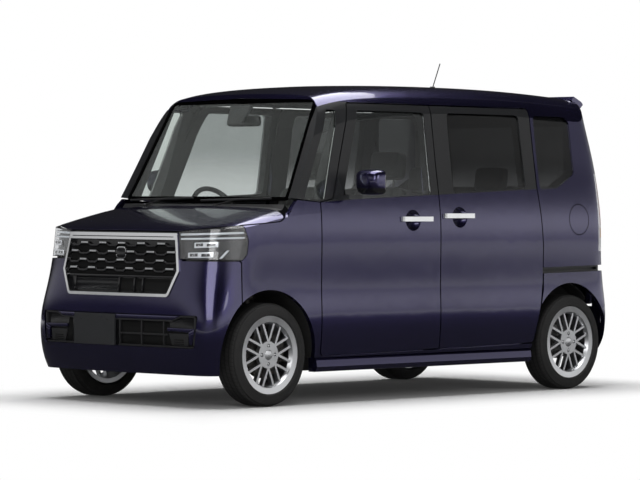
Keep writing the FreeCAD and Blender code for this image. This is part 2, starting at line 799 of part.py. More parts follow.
def make_bumper():
    zone = [
        (NOSE_Y - 50, S.body_bottom), (FRONT_AXLE_Y - 270, S.body_bottom),
        (S.fender_front_y, 560), (S.fender_front_y, S.lamp_base - 10), (-1440, S.lamp_base),
        (NOSE_Y - 50, S.lamp_base),
    ]
    shell = layer(prism(zone, "X", -FAR, FAR, -HALF_GAP), 0, S.skin_wall, plan_solid)
    nose_top = prism(
        [(-S.grille_mid_half_width - 14, S.lamp_base - 20), (S.grille_mid_half_width + 14, S.lamp_base - 20),
         (S.grille_half_width + 2, S.grille_top - 2), (-S.grille_half_width - 2, S.grille_top - 2)],
        "Y", NOSE_Y - 50, -1500)
    shell = shell.fuse(layer(nose_top, 0, S.skin_wall, plan_solid))
    shell = shell.cut(prism(grille_outline(), "Y", NOSE_Y - 50, -1400))
    shell = shell.cut(prism(intake_outline(), "Y", NOSE_Y - 50, -1500))
    shell = shell.cut(lamp_zone(3)).cut(mirrored(lamp_zone(3)))
    for inner in (300, -FAR):
        shell = shell.cut(arch_cylinder(FRONT_AXLE_Y, S.arch_radius, inner, inner + FAR - 300))
    feature("front_bumper", solids(shell))


def make_grille():
    upper = layer(prism(grille_outline(), "Y", NOSE_Y - 50, -1400, -S.seal_gap), 18, 40, plan_solid)
    lower = layer(prism(intake_outline(), "Y", NOSE_Y - 50, -1500, -S.seal_gap), 18, 40, plan_solid)
    lower = lower.fuse(plate_bosses()).cut(plate_holes())
    feature("front_grille", Part.makeCompound([solids(upper), solids(lower)]))
    ring = prism(grille_outline(), "Y", NOSE_Y - 50, -1400, -S.seal_gap).cut(
        prism(grille_outline(), "Y", NOSE_Y - 60, -1390, -16))
    top_bar = prism(
        [(-S.grille_half_width + 1, S.grille_top - 42), (S.grille_half_width - 1, S.grille_top - 42),
         (S.grille_half_width - 1, S.grille_top - 6), (-S.grille_half_width + 1, S.grille_top - 6)],
        "Y", NOSE_Y - 50, -1400)
    below_hood = block(-FAR, FAR, NOSE_Y - 60, -1400, 400, S.grille_top - 6)
    feature("grille_frame", solids(layer(ring.fuse(top_bar).common(below_hood), -6, 17.5, plan_solid)))
    make_plate_bracket()


PLATE_X = -165.0
PLATE_FRONT_Y = NOSE_Y + 3.5
PLATE_WALL = 12.0
PLATE_HOLE_HEIGHT = 462.0
PLATE_HOLE_SPREAD = 210.0
PLATE_HOLE_RADIUS = 3.5


def plate_holes():
    """The two bolt holes, straight through the carrier and the grille behind it."""
    return [Part.makeCylinder(PLATE_HOLE_RADIUS, 80, Vector(
        PLATE_X + side * PLATE_HOLE_SPREAD / 2, PLATE_FRONT_Y - 5, PLATE_HOLE_HEIGHT), Vector(0, 1, 0))
        for side in (-1, 1)]


def plate_bosses():
    """Four flat-faced bosses on the lower grille, on which the plate carrier stands."""
    seat = PLATE_FRONT_Y + PLATE_WALL
    return [block(PLATE_X + x - 12, PLATE_X + x + 12, seat, seat + 28, z - 12, z + 12)
            for x in (-50, 50) for z in (360, 462)]


def make_plate_bracket():
    """The flat carrier that holds the number plate in front of the lower intake."""
    carrier = block(PLATE_X - 165, PLATE_X + 165, PLATE_FRONT_Y, PLATE_FRONT_Y + PLATE_WALL,
                    S.intake_base + 2, S.intake_top - 6)
    feature("plate_bracket", carrier.cut(plate_holes()))


def make_cowl():
    """The black trough between the hood and the windshield."""
    half = HALF_WIDTH - 90
    points = [
        (S.windshield_base_y - 30, S.hood_line_rear + 20), (S.windshield_base_y - 28, S.windshield_base_height - 16),
        (S.windshield_base_y + 30, S.windshield_base_height - 6),
        (S.firewall_y - 20 - S.seal_gap, S.windshield_base_height - 36),
        (S.firewall_y - 20 - S.seal_gap, S.hood_line_rear - 20), (S.windshield_base_y, S.hood_line_rear - 20),
    ]
    trough = prism(points, "X", -half, half)
    feature("cowl_panel", solids(trough.common(cabin(3).fuse(front_end(3)))))


def make_fuel_lid():
    lid = Part.makeCylinder(
        S.fuel_lid_radius, FAR, Vector(400, FUEL_LID_Y, FUEL_LID_HEIGHT), Vector(1, 0, 0))
    feature("fuel_lid", solids(lid.common(cabin(0)).cut(cabin(FUEL_LID_WALL))))


def make_slide_rails():
    """The channel under the quarter panel in which the sliding door's arm runs."""
    front = S.sliding_rear_y + S.panel_gap
    back = TAIL_Y - 110
    zone = [
        (front, bumper_top_at(front) + S.seal_gap), (back, bumper_top_at(back) + S.seal_gap),
        (back, rail_top_at(back) - S.seal_gap), (front, rail_top_at(front) - S.seal_gap),
    ]
    rail = layer(prism(zone, "X", 300, FAR), 16, S.door_wall)
    slot = [
        (S.sliding_rear_y, bumper_top_at(front) + 10), (back - 20, bumper_top_at(back) + 10),
        (back - 20, rail_top_at(back) - 10), (S.sliding_rear_y, rail_top_at(front) - 10),
    ]
    slot_zone = prism(slot, "X", 300, FAR).cut(cabin(38))
    rail = rail.cut(slot_zone)
    feature("slide_rails", both_sides(solids(rail.cut(tailgate_zone(HALF_GAP)))))


ENGINE_BASE = 300.0
INNER_WING_X = 385.0
INNER_WING_RADIUS = S.arch_radius + 12


def make_underbody():
    floor_top = S.floor_height
    floor_low = floor_top - S.floor_wall
    half = HALF_WIDTH - S.frame_depth - 2
    wheel_gap = S.arch_radius + 6
    tub = block(-half, half, S.firewall_y - 20, REAR_AXLE_Y - wheel_gap, floor_low, floor_top)
    tub = tub.fuse(block(-half, half, S.firewall_y - 20, S.firewall_y, floor_low, 1060))
    rear_half = WHEEL_X - S.tyre_width / 2 - 45
    rise_y = REAR_AXLE_Y - wheel_gap - S.floor_wall
    rear_floor = S.luggage_floor_height
    tub = tub.fuse(block(-rear_half, rear_half, rise_y, REAR_AXLE_Y - wheel_gap, floor_low, rear_floor))
    tail_floor = block(-rear_half, rear_half, rise_y, TAIL_Y - 150, rear_floor - S.floor_wall, rear_floor)
    tub = tub.fuse(tail_floor)
    for side in (-1, 1):
        inner = rear_half if side > 0 else -half
        outer = half if side > 0 else -rear_half
        house = arch_cylinder(REAR_AXLE_Y, wheel_gap + 8, inner - (8 if side > 0 else 0),
                              outer + (0 if side > 0 else 8))
        hollow = arch_cylinder(REAR_AXLE_Y, wheel_gap, inner if side > 0 else inner - 50,
                               outer + 50 if side > 0 else outer)
        arched = house.cut(hollow).common(block(-FAR, FAR, 0, 3000, floor_low, 2000))
        tub = tub.fuse(arched)
    spine = block(-90, 90, S.firewall_y, 560, floor_low - 60, floor_low)
    rails = [block(side * 330 - 40, side * 330 + 40, NOSE_Y, rise_y, floor_low - 70, floor_low)
             for side in (-1, 1)]
    axle_pass = block(-FAR, FAR, REAR_AXLE_Y - 75, REAR_AXLE_Y + 75, 0, S.tyre_radius + 110)
    for inner in (INNER_WING_X - 8 - S.seal_gap, -FAR):
        outer = inner + FAR - INNER_WING_X + 8 + S.seal_gap
        tub = tub.cut(arch_cylinder(FRONT_AXLE_Y, INNER_WING_RADIUS + S.seal_gap, inner, outer))
    tub = tub.cut(axle_pass).common(plan_solid(S.frame_depth + S.seal_gap))
    cross = block(-370, 370, -1340, -1270, floor_low - 10, ENGINE_BASE - S.seal_gap)
    tail_arms = [block(side * 330 - 40, side * 330 + 40, TAIL_Y - 260, TAIL_Y, rear_floor - 80,
                       rear_floor - S.floor_wall) for side in (-1, 1)]
    frame = rails[0].fuse([rails[1], cross] + tail_arms).common(plan_solid(S.skin_wall + S.seal_gap))
    feature("underbody", solids(tub.fuse([spine, frame])))


def make_inner_fenders():
    """Pressed inner wings over the front wheels, with the strut towers, and the radiator support."""
    inner_x = INNER_WING_X
    outer_x = HALF_WIDTH
    wing_base = S.sill_top + 4 + 2 * S.seal_gap
    pieces = []
    for side in (-1, 1):
        low = inner_x if side > 0 else -outer_x
        high = outer_x if side > 0 else -inner_x
        drum = arch_cylinder(FRONT_AXLE_Y, INNER_WING_RADIUS, low, high)
        hollow = arch_cylinder(FRONT_AXLE_Y, S.arch_radius + 2, low - 50, high + 50)
        wing = drum.cut(hollow).common(block(-FAR, FAR, -2000, S.door_front_y - 10, wing_base, 2000))
        wall_x = side * inner_x
        wall = block(min(wall_x, wall_x - side * 8), max(wall_x, wall_x - side * 8),
                     FRONT_AXLE_Y - 330, S.firewall_y - 20 - S.seal_gap, 250, 860)
        pieces.append(wing.fuse(wall))
    rail_top = S.floor_height - S.floor_wall
    support = block(-inner_x, inner_x, -1560, -1530, rail_top + S.seal_gap, 860)
    window = block(-330, 330, -1600, -1500, 330, 800)
    latch = block(-40, 40, -1560, -1530, 850, 1100).common(hood_solid(S.hood_wall + S.seal_gap))
    joined = pieces[0].fuse([pieces[1], support.cut(window), latch])
    feature("front_structure", solids(joined.common(plan_solid(S.skin_wall + S.seal_gap))))


def make_running_gear():
    make_wheels()
    make_knuckles()
    beam = rod((-WHEEL_X + 92, REAR_AXLE_Y, S.tyre_radius), (WHEEL_X - 92, REAR_AXLE_Y, S.tyre_radius),
               S.axle_tube_radius)
    floor_low = S.floor_height - S.floor_wall
    spring_top = S.luggage_floor_height - S.floor_wall - S.seal_gap
    for side in (-1, 1):
        drum_start = side * (WHEEL_X - 92)
        drum = rod((drum_start, REAR_AXLE_Y, S.tyre_radius),
                   (side * (WHEEL_X - 22), REAR_AXLE_Y, S.tyre_radius), 100)
        stub = rod((drum_start, REAR_AXLE_Y, S.tyre_radius),
                   (side * HUB_SEAT_X, REAR_AXLE_Y, S.tyre_radius), 32)
        arm = block(side * 450 - 30, side * 450 + 30, REAR_AXLE_Y - 470, REAR_AXLE_Y + 60,
                    floor_low - 52, floor_low - S.seal_gap)
        spring = rod((side * 450, REAR_AXLE_Y, S.tyre_radius), (side * 450, REAR_AXLE_Y, spring_top), 48)
        beam = beam.fuse([drum, stub, arm, spring])
    feature("rear_axle", beam)
    feature("engine_block", block(-300, 300, -1515, ENGINE_REAR_Y, ENGINE_BASE, 800))
    feature("fuel_tank", block(-118, 250, -560, 60, 152, floor_low - 60 - S.seal_gap))
    make_exhaust()


ENGINE_REAR_Y = -1090.0
HUB_SEAT_X = WHEEL_X + S.rim_width / 2 - 14 - S.spoke_depth - S.seal_gap


def make_exhaust():
    """Downpipe from the engine, pipe under the floor and cross-mounted silencer."""
    radius = 24.0
    stops = [
        (-150, ENGINE_REAR_Y + S.seal_gap, 340), (-150, -1045, 340), (-150, -1045, 190),
        (-150, 650, 190), (300, 1500, 205), (300, 1560, 215),
    ]
    pipe = rod(stops[0], stops[1], radius)
    for start, end in zip(stops[1:], stops[2:]):
        pipe = pipe.fuse([rod(start, end, radius), Part.makeSphere(radius, Vector(*start))])
    muffler = Part.makeCylinder(84, 420, Vector(-60, 1562, 250), Vector(1, 0, 0))
    feature("exhaust", pipe.fuse(muffler))


def make_body(label):
    body = doc.addObject("PartDesign::Body", label + "_body")
    return keep(body, label)


def plane_of(body, role):
    return next(item for item in body.Origin.OriginFeatures if item.Role == role)


def sketch_in(body, name, role, placed):
    sketch = body.newObject("Sketcher::SketchObject", name)
    sketch.AttachmentSupport = [(plane_of(body, role), "")]
    sketch.MapMode = "FlatFace"
    sketch.AttachmentOffset = placed
    return sketch


def add_loop(sketch, points):
    """A closed chain of straight lines with coincident ends."""
    import Sketcher
    first = sketch.GeometryCount
    count = len(points)
    for index in range(count):
        start = Vector(points[index][0], points[index][1], 0)
        end = Vector(points[(index + 1) % count][0], points[(index + 1) % count][1], 0)
        sketch.addGeometry(Part.LineSegment(start, end), False)
    for index in range(count):
        following = first + (index + 1) % count
        sketch.addConstraint(Sketcher.Constraint("Coincident", first + index, 2, following, 1))


def tyre_section():
    """Half section of the tyre, as breadth from its middle plane and radius."""
    half = S.tyre_width / 2
    tread = S.tyre_radius
    bead = S.rim_seat_radius + S.seal_gap
    over_lip = S.rim_radius + 2 * S.seal_gap
    inside_lip = S.rim_width / 2 - 15.5
    shoulder = S.tyre_shoulder
    return [
        (-inside_lip, bead), (-inside_lip - 4, over_lip), (-half + 5, over_lip + 2),
        (-half, tread - 1.8 * shoulder),
        (-half + 3, tread - 1.1 * shoulder), (-half + 9, tread - 0.45 * shoulder),
        (-half + 20, tread - 4), (-half + 34, tread), (half - 34, tread), (half - 20, tread - 4),
        (half - 9, tread - 0.45 * shoulder), (half - 3, tread - 1.1 * shoulder),
        (half, tread - 1.8 * shoulder), (half - 5, over_lip + 2), (inside_lip + 4, over_lip),
        (inside_lip, bead),
    ]


def revolve_x(points, centre):
    """Turn a section of breadth and radius about the wheel's axis."""
    wire = Part.makePolygon([Vector(x, 0, r) for x, r in points + points[:1]])
    solid = Part.Face(wire).revolve(Vector(0, 0, 0), Vector(1, 0, 0), 360)
    solid.translate(Vector(*centre))
    return solid


def rim_section():
    """Section of the rim barrel with its outer flange, outboard towards +X."""
    half = S.rim_width / 2
    seat = S.rim_seat_radius
    wall = S.rim_wall
    lip = S.rim_radius
    return [
        (-half, seat - wall), (half - 26, seat - wall - 14), (half - 6, seat - wall - 2),
        (half - 3, lip), (half - 11, lip), (half - 15, seat), (-half + 14, seat), (-half + 10, lip - 6),
        (-half, lip - 6),
    ]


SPOKES = 8
SPOKE_HALF_ANGLE = 22.5


def make_rim_shape():
    """Alloy wheel: barrel, hub disc and eight slim V spokes, centred on the wheel's middle."""
    half = S.rim_width / 2
    rim = revolve_x(rim_section(), (0, 0, 0))
    face_x = half - 14
    hub = Part.makeCylinder(S.hub_radius, S.spoke_depth, Vector(face_x - S.spoke_depth, 0, 0),
                            Vector(1, 0, 0))
    bore = Part.makeCylinder(S.hub_bore_radius, 12, Vector(face_x - 11, 0, 0), Vector(1, 0, 0))
    hub = hub.cut(bore)
    apex = S.hub_radius - 6
    reach = S.rim_seat_radius - S.rim_wall - 4 - apex
    spokes = []
    for index in range(SPOKES):
        for side in (-1, 1):
            arm = Part.makeBox(S.spoke_depth, S.spoke_width, reach * 1.07,
                               Vector(face_x - S.spoke_depth, -S.spoke_width / 2, 0))
            arm.rotate(Vector(0, 0, 0), Vector(1, 0, 0), side * SPOKE_HALF_ANGLE)
            arm.translate(Vector(0, 0, apex))
            arm.rotate(Vector(0, 0, 0), Vector(1, 0, 0), index * 360 / SPOKES)
            spokes.append(arm)
    inside = Part.makeCylinder(S.rim_seat_radius - S.rim_wall + 2, S.rim_width, Vector(-half, 0, 0),
                               Vector(1, 0, 0))
    spokes = [arm.common(inside) for arm in spokes]
    wheel = rim.fuse(spokes + [hub])
    for index in range(4):
        angle = math.radians(90 * index)
        lug = Vector(face_x - 12, S.lug_circle_radius * math.sin(angle), S.lug_circle_radius * math.cos(angle))
        wheel = wheel.cut(Part.makeCylinder(11, 14, lug, Vector(1, 0, 0)))
    return wheel.removeSplitter()


def make_wheels():
    rim = make_rim_shape()
    tyre = revolve_x(tyre_section(), (0, 0, 0))
    for end, axle_y in (("front", FRONT_AXLE_Y), ("rear", REAR_AXLE_Y)):
        for name, side in (("left", 1), ("right", -1)):
            centre = Vector(side * WHEEL_X, axle_y, S.tyre_radius)
            turn = Rotation(Vector(0, 0, 1), 0 if side > 0 else 180)
            for kind, shape in (("tyre", tyre), ("rim", rim)):
                label = f"{kind}_{end}_{name}"
                obj = doc.addObject("Part::Feature", label)
                obj.Shape = shape
                obj.Placement = Placement(centre, turn)
                keep(obj, label)


STRUT_TOP = S.tyre_radius + S.arch_radius - 6
PIVOT_RADIUS = 12.0
STEERING_AXIS_X = 595.0
STEERING_AXIS_LEAN = 98.0 / 452.0


def steering_axis_x(height):
    """The steering axis leans inwards from the lower ball joint to the top of the strut."""
    return STEERING_AXIS_X - (height - S.tyre_radius) * STEERING_AXIS_LEAN


def make_knuckles():
    """Front uprights: hub carrier, brake disc with its caliper, and strut with its spring seat."""
    for name, side in (("left", 1), ("right", -1)):
        hub_x = WHEEL_X
        carrier = rod((hub_x - 78, FRONT_AXLE_Y, S.tyre_radius), (HUB_SEAT_X, FRONT_AXLE_Y, S.tyre_radius), 32)
        disc = rod((hub_x - 2, FRONT_AXLE_Y, S.tyre_radius), (hub_x + 20, FRONT_AXLE_Y, S.tyre_radius),
                   S.disc_radius)
        caliper = block(hub_x - 30, hub_x + 30, FRONT_AXLE_Y + 60, FRONT_AXLE_Y + 145,
                        S.tyre_radius - 40, S.tyre_radius + 70)
        upright = block(hub_x - 96, hub_x - 60, FRONT_AXLE_Y - 38, FRONT_AXLE_Y + 38,
                        S.tyre_radius - 95, S.tyre_radius + 130)
        upright = upright.fuse(block(hub_x - 112, hub_x - 80, FRONT_AXLE_Y - 24, FRONT_AXLE_Y + 24,
                                     S.tyre_radius + 40, S.tyre_radius + 130))
        strut = rod((steering_axis_x(S.tyre_radius + 60), FRONT_AXLE_Y, S.tyre_radius + 60),
                    (steering_axis_x(STRUT_TOP), FRONT_AXLE_Y, STRUT_TOP), S.strut_radius)
        coil = rod((steering_axis_x(STRUT_TOP - 54), FRONT_AXLE_Y, STRUT_TOP - 54),
                   (steering_axis_x(STRUT_TOP - 6), FRONT_AXLE_Y, STRUT_TOP - 6), 50)
        pivot_height = STRUT_TOP + 8 - S.seal_gap - PIVOT_RADIUS
        pivot = Part.makeSphere(
            PIVOT_RADIUS, Vector(steering_axis_x(pivot_height), FRONT_AXLE_Y, pivot_height))
        knuckle = carrier.fuse([disc, caliper, upright, strut, coil, pivot])
        feature(f"knuckle_{name}", knuckle if side > 0 else mirrored(knuckle))


def make_sills():
    section = [
        (HALF_WIDTH - S.sill_depth, S.body_bottom + 4), (HALF_WIDTH - 22, S.body_bottom + 4, 8),
        (HALF_WIDTH - 8, S.body_bottom + 30, 10), (HALF_WIDTH - 14, S.sill_top - 8, 6),
        (HALF_WIDTH - 30, S.sill_top + 4), (HALF_WIDTH - S.sill_depth, S.sill_top + 4),
    ]
    front = FRONT_AXLE_Y + S.arch_radius + 8
    back = REAR_AXLE_Y - S.arch_radius - 4
    sill = prism(section, "Y", front, back)
    feature("side_sills", both_sides(sill))


def make_handles():
    for label, y, z, sides in (
            ("front_door_handle_left", FRONT_HANDLE_Y, HANDLE_HEIGHT_FRONT, (1,)),
            ("front_door_handle_right", FRONT_HANDLE_Y, HANDLE_HEIGHT_FRONT, (-1,)),
            ("sliding_door_handles", SLIDING_HANDLE_Y, HANDLE_HEIGHT_SLIDING, (1, -1))):
        half = S.handle_length / 2
        x = side_x(y, z)
        plan = [
            (x - 3, y - half, 4), (x + 22, y - half + 6, 14), (x + 24, y + half - 6, 14), (x - 3, y + half, 4),
            (x - 3, y + half - 34, 4), (x + 9, y + half - 48, 8), (x + 9, y - half + 48, 8),
            (x - 3, y - half + 34, 4),
        ]
        bar = prism(plan, "Z", z - S.handle_height / 2, z + S.handle_height / 2)
        bar = bar.cut(cabin(0))
        shapes = [bar if side > 0 else mirrored(bar) for side in sides]
        feature(label, shapes[0] if len(shapes) == 1 else Part.makeCompound(shapes))


MIRROR_AXIS = (HALF_WIDTH + 57.5, -600.0)
MIRROR_LOW = 1149.0
MIRROR_HIGH = 1292.0


def make_mirrors():
    axis_x, axis_y = MIRROR_AXIS
    plan = [
        (axis_x - 20, axis_y - 22, 18), (axis_x + 128, axis_y - 6, 40), (axis_x + 140, axis_y + 78, 18),
        (axis_x - 18, axis_y + 78, 18),
    ]
    housing = prism(plan, "Z", MIRROR_LOW, MIRROR_HIGH)
    front_view = [
        (axis_x - 20, MIRROR_LOW, 12), (axis_x + 120, MIRROR_LOW, 40),
        (axis_x + 140, MIRROR_HIGH - 8, 44), (axis_x - 20, MIRROR_HIGH, 30),
    ]
    housing = housing.common(prism(front_view, "Y", axis_y - 100, axis_y + 120))
    sail_x = side_x(-690, 1150)
    base = block(sail_x - 18, axis_x + 14, axis_y - 92, axis_y - 44, MIRROR_LOW - 22, MIRROR_LOW - 2)
    foot = block(axis_x - 22, axis_x + 14, axis_y - 92, axis_y + 14, MIRROR_LOW - 22, MIRROR_LOW - 0.3)
    sail = layer(prism(
        [(S.door_front_y + 14, belt_at(S.door_front_y) + 0.5), (SASH_BASE_Y + 74, belt_at(SASH_BASE_Y) + 6),
         (SASH_BASE_Y + 84, belt_at(SASH_BASE_Y) + 50), (SASH_BASE_Y + 60, belt_at(SASH_BASE_Y) + 130),
         (SASH_BASE_Y + 8, belt_at(SASH_BASE_Y) + 10)], "X", 400, FAR), -3, -S.seal_gap)
    stalk = base.fuse(foot).cut(cabin(-2)).fuse(solids(sail))
    for name, side in (("left", 1), ("right", -1)):
        feature(f"mirror_{name}", housing if side > 0 else mirrored(housing))
        feature(f"mirror_base_{name}", stalk if side > 0 else mirrored(stalk))


def make_cabin():
    """Seats, dashboard and steering wheel, which show through the glass."""
    seats = []
    for side in (-1, 1):
        middle = side * 300
        half = S.seat_width / 2
        cushion = Part.makeBox(S.seat_width, 500, 200, Vector(middle - half, -420, S.seat_cushion_height - 200))
        back_points = [(60, S.seat_cushion_height - 60, 30), (190, S.seat_cushion_height + 560, 50),
                       (90, S.seat_cushion_height + 580, 40), (-60, S.seat_cushion_height, 30)]
        back = prism(back_points, "X", middle - half + 10, middle + half - 10)
        head = prism([(110, S.seat_cushion_height + 590, 30), (200, S.seat_cushion_height + 600, 30),
                      (215, S.seat_cushion_height + 760, 40), (130, S.seat_cushion_height + 760, 40)],
                     "X", middle - 125, middle + 125)
        post = rod((middle - 60, 140, S.seat_cushion_height + 540), (middle - 60, 160, S.seat_cushion_height + 640), 7)
        post_two = post.translated(Vector(120, 0, 0))
        base = block(middle - half + 40, middle + half - 40, -380, 40, S.floor_height, S.seat_cushion_height - 200)
        seats.append(cushion.fuse([back, head, post, post_two, base]))
    feature("front_seats", Part.makeCompound(seats))
    half = 520
    bench = block(-half, half, 440, 900, S.seat_cushion_height - 190, S.seat_cushion_height - 20)
    bench_back = prism([(1000, S.seat_cushion_height - 90, 20), (1130, S.seat_cushion_height + 520, 30),
                        (1050, S.seat_cushion_height + 540, 25), (860, S.seat_cushion_height - 40, 20)],
                       "X", -half, half)
    stand = block(-half + 60, half - 60, 520, 840, S.floor_height, S.seat_cushion_height - 190)
    heads = [prism([(1050, S.seat_cushion_height + 500, 20), (1120, S.seat_cushion_height + 500, 20),
                    (1150, S.seat_cushion_height + 690, 28), (1070, S.seat_cushion_height + 690, 28)],
                   "X", side * 270 - 120, side * 270 + 120) for side in (-1, 1)]
    feature("rear_seat", bench.fuse([bench_back, stand] + heads))
    dash_points = [
        (S.firewall_y, 620), (-800, 640, 40), (-700, 760, 60), (-690, 960, 60), (-780, 1085, 60),
        (S.firewall_y, 1085, 20),
    ]
    dash_half = HALF_WIDTH - S.frame_depth - 4
    dash = prism(dash_points, "X", -dash_half, dash_half).common(cabin(S.frame_depth + 2))
    tilt = math.radians(90 - STEERING_TILT)
    lean = Vector(0, math.sin(tilt), math.cos(tilt))
    shroud_end = STEERING_CENTRE - lean * (COLUMN_DEPTH + S.seal_gap)
    shroud = Part.makeCylinder(40, 130, shroud_end, -lean)
    feature("dashboard", dash.fuse(shroud))
    make_steering_wheel()


COLUMN_DEPTH = 82.0
STEERING_CENTRE = Vector(-330, -600, 1020)
STEERING_TILT = 28.0


def make_steering_wheel():
    """Rim, two spokes and hub, leaning back on the column in front of the right-hand seat."""
    rim = Part.makeTorus(S.steering_wheel_radius, 14)
    hub = Part.makeCylinder(62, 34, Vector(0, 0, -20))
    spokes = [Part.makeBox(S.steering_wheel_radius, 34, 14, Vector(0, -17, -8)),
              Part.makeBox(S.steering_wheel_radius, 34, 14, Vector(-S.steering_wheel_radius, -17, -8))]
    column = Part.makeCylinder(22, 62, Vector(0, 0, -COLUMN_DEPTH))
    wheel = rim.fuse([hub, column] + spokes)
    obj = doc.addObject("Part::Feature", "steering_wheel")
    obj.Shape = wheel
    obj.Placement = Placement(STEERING_CENTRE, Rotation(Vector(1, 0, 0), -(90 - STEERING_TILT)))
    keep(obj, "steering_wheel")


def make_small_parts():
    base = Part.makeCone(22, 14, 22, Vector(0, 872, S.body_height - 8))
    tip = (0, 872 + S.antenna_length * 0.4, S.body_height + S.antenna_length * 0.93)
    mast = rod((0, 872, S.body_height + 4), tip, 3.2)
    feature("antenna", base.fuse(mast).cut(cabin(0)))
    make_wipers()


def wiper_arm(pivot, blade_start, blade_end):
    """An arm from its pivot to the middle of a blade that lies on the glass."""
    middle = tuple((a + b) / 2 for a, b in zip(blade_start, blade_end))
    arm = rod(pivot, middle, 5)
    blade = rod(blade_start, blade_end, 6)
    boss = Part.makeSphere(11, Vector(*pivot))
    return arm.fuse([blade, boss])


def make_wipers():
    base_y = S.windshield_base_y
    base_z = S.windshield_base_height
    arms = []
    for pivot_x, start_x, end_x in ((-430, -560, -60), (140, 20, 560)):
        arms.append(wiper_arm((pivot_x, base_y - 14, base_z - 14), (start_x, base_y - 4, base_z + 14),
                              (end_x, base_y + 12, base_z + 28)))
    trough = PARTS["cowl_panel"].Shape
    clear = [arm.cut(windshield_solid(S.glass_inset - 1)).cut(trough) for arm in arms]
    feature("front_wipers", Part.makeCompound([solids(arm) for arm in clear]))
    glass_y = TAIL_Y - 40
    rear = wiper_arm((0, glass_y + 2, S.belt_rear - 40), (-30, glass_y, S.belt_rear + 10),
                     (-330, glass_y - 8, S.belt_rear + 30))
    feature("rear_wiper", solids(rear.cut(cabin(0))))


make_doors()
make_side_frames()
make_greenhouse()
make_tail()
make_front_end()
make_fuel_lid()
make_slide_rails()
make_underbody()
make_inner_fenders()
make_running_gear()
make_sills()
make_handles()
make_mirrors()
make_cabin()
make_small_parts()

doc.recompute()

for obj in doc.Objects:
    if "Invalid" in obj.State or "Error" in obj.State:
        raise RuntimeError(f"{obj.Label} failed: {obj.State}")

os.makedirs("parts", exist_ok=True)
for label, obj in PARTS.items():
    if obj.Shape.isNull() or not obj.Shape.isValid():
        raise RuntimeError(f"{label} has no valid shape")
    obj.Shape.exportStep(f"parts/{label}.step")
    print(f"{label:26s} {len(obj.Shape.Solids)} solids {obj.Shape.Volume / 1e6:9.2f} litres")
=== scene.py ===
# %% [markdown]
# # A tall kei car in a white studio
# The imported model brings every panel, wheel and seat as a mesh in metres. This notebook dresses
# those meshes with procedural finishes, adds the small parts that only the eye needs, such as lamp
# units, grille bars and seat cushions, and sets up the studio and the camera.

# %% Load the frame
import math

import bmesh
import bpy
from mathutils import Matrix, Vector
from mathutils.bvhtree import BVHTree


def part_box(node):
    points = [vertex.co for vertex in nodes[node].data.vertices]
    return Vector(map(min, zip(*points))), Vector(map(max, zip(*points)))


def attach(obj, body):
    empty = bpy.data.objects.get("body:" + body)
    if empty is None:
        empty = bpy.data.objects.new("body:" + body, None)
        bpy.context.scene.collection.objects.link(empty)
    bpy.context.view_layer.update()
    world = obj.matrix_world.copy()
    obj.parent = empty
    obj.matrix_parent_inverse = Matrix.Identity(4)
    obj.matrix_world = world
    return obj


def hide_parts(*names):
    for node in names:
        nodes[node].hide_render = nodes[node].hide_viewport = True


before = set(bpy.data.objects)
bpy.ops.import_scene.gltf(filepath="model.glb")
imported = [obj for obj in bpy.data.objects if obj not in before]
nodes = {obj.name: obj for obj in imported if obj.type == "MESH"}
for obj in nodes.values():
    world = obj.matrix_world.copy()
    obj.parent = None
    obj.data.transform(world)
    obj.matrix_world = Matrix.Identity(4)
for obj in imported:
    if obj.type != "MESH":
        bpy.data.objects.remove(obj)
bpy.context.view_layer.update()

# %% [markdown]
# ## Camera
# The photograph was taken from far away with a long lens, a little above the belt line, at the
# front left corner. A camera is a position, three axes and a focal length. Writing the three axes
# as the columns of a matrix keeps the small roll that the photograph has.

# %% Place the camera
AZIMUTH = math.radians(44.2665)
ELEVATION = math.radians(0.7367)
ROLL = math.radians(0.271)
CAMERA_PLACE = Vector((13.229, -13.663, 1.131))
FOCAL_PIXELS, IMAGE_WIDTH = 3264.7, 640

forward = Vector((
    -math.sin(AZIMUTH) * math.cos(ELEVATION),
    math.cos(AZIMUTH) * math.cos(ELEVATION),
    -math.sin(ELEVATION),
))
level_right = forward.cross(Vector((0, 0, 1))).normalized()
level_up = level_right.cross(forward)
right = math.cos(ROLL) * level_right + math.sin(ROLL) * level_up
up = right.cross(forward)

camera_data = bpy.data.cameras.new("studio_camera")
camera_data.sensor_width = 36.0
camera_data.lens = FOCAL_PIXELS / IMAGE_WIDTH * camera_data.sensor_width
camera_data.clip_end = 400
camera = bpy.data.objects.new("studio_camera", camera_data)
camera.matrix_world = Matrix.Translation(CAMERA_PLACE) @ Matrix(
    (right, up, -forward)).transposed().to_4x4()
bpy.context.scene.collection.objects.link(camera)
bpy.context.scene.camera = camera
print("lens:", round(camera_data.lens, 1), "mm")

# %% [markdown]
# ## Helpers for node trees
# Every finish here is a small graph of shader nodes. These helpers keep the cells short: one adds a
# node and sets its inputs, some do sums, one mixes two colours, one makes a soft step, one reads a
# point's coordinates, one places a texture on them, two make a material with its Principled BSDF and
# feed it, and two make and place a node group with named sockets. A group holds only colours, masks
# and normals. The shader itself stays in each material. A socket knows its own tree, so the sums and
# masks take only sockets and numbers.

# %% Node helpers
def plug(socket, value):
    """Feed a socket with another node's output, or set it to a plain value."""
    if isinstance(value, bpy.types.NodeSocket):
        socket.id_data.links.new(value, socket)
    else:
        socket.default_value = value


def add_node(tree, kind, inputs=None, **settings):
    node = tree.nodes.new(kind)
    for name, value in settings.items():
        setattr(node, name, value)
    for name, value in (inputs or {}).items():
        plug(node.inputs[name], value)
    return node


def tree_of(*values):
    """The node tree of the first value that is a socket."""
    return next(value.id_data for value in values if isinstance(value, bpy.types.NodeSocket))


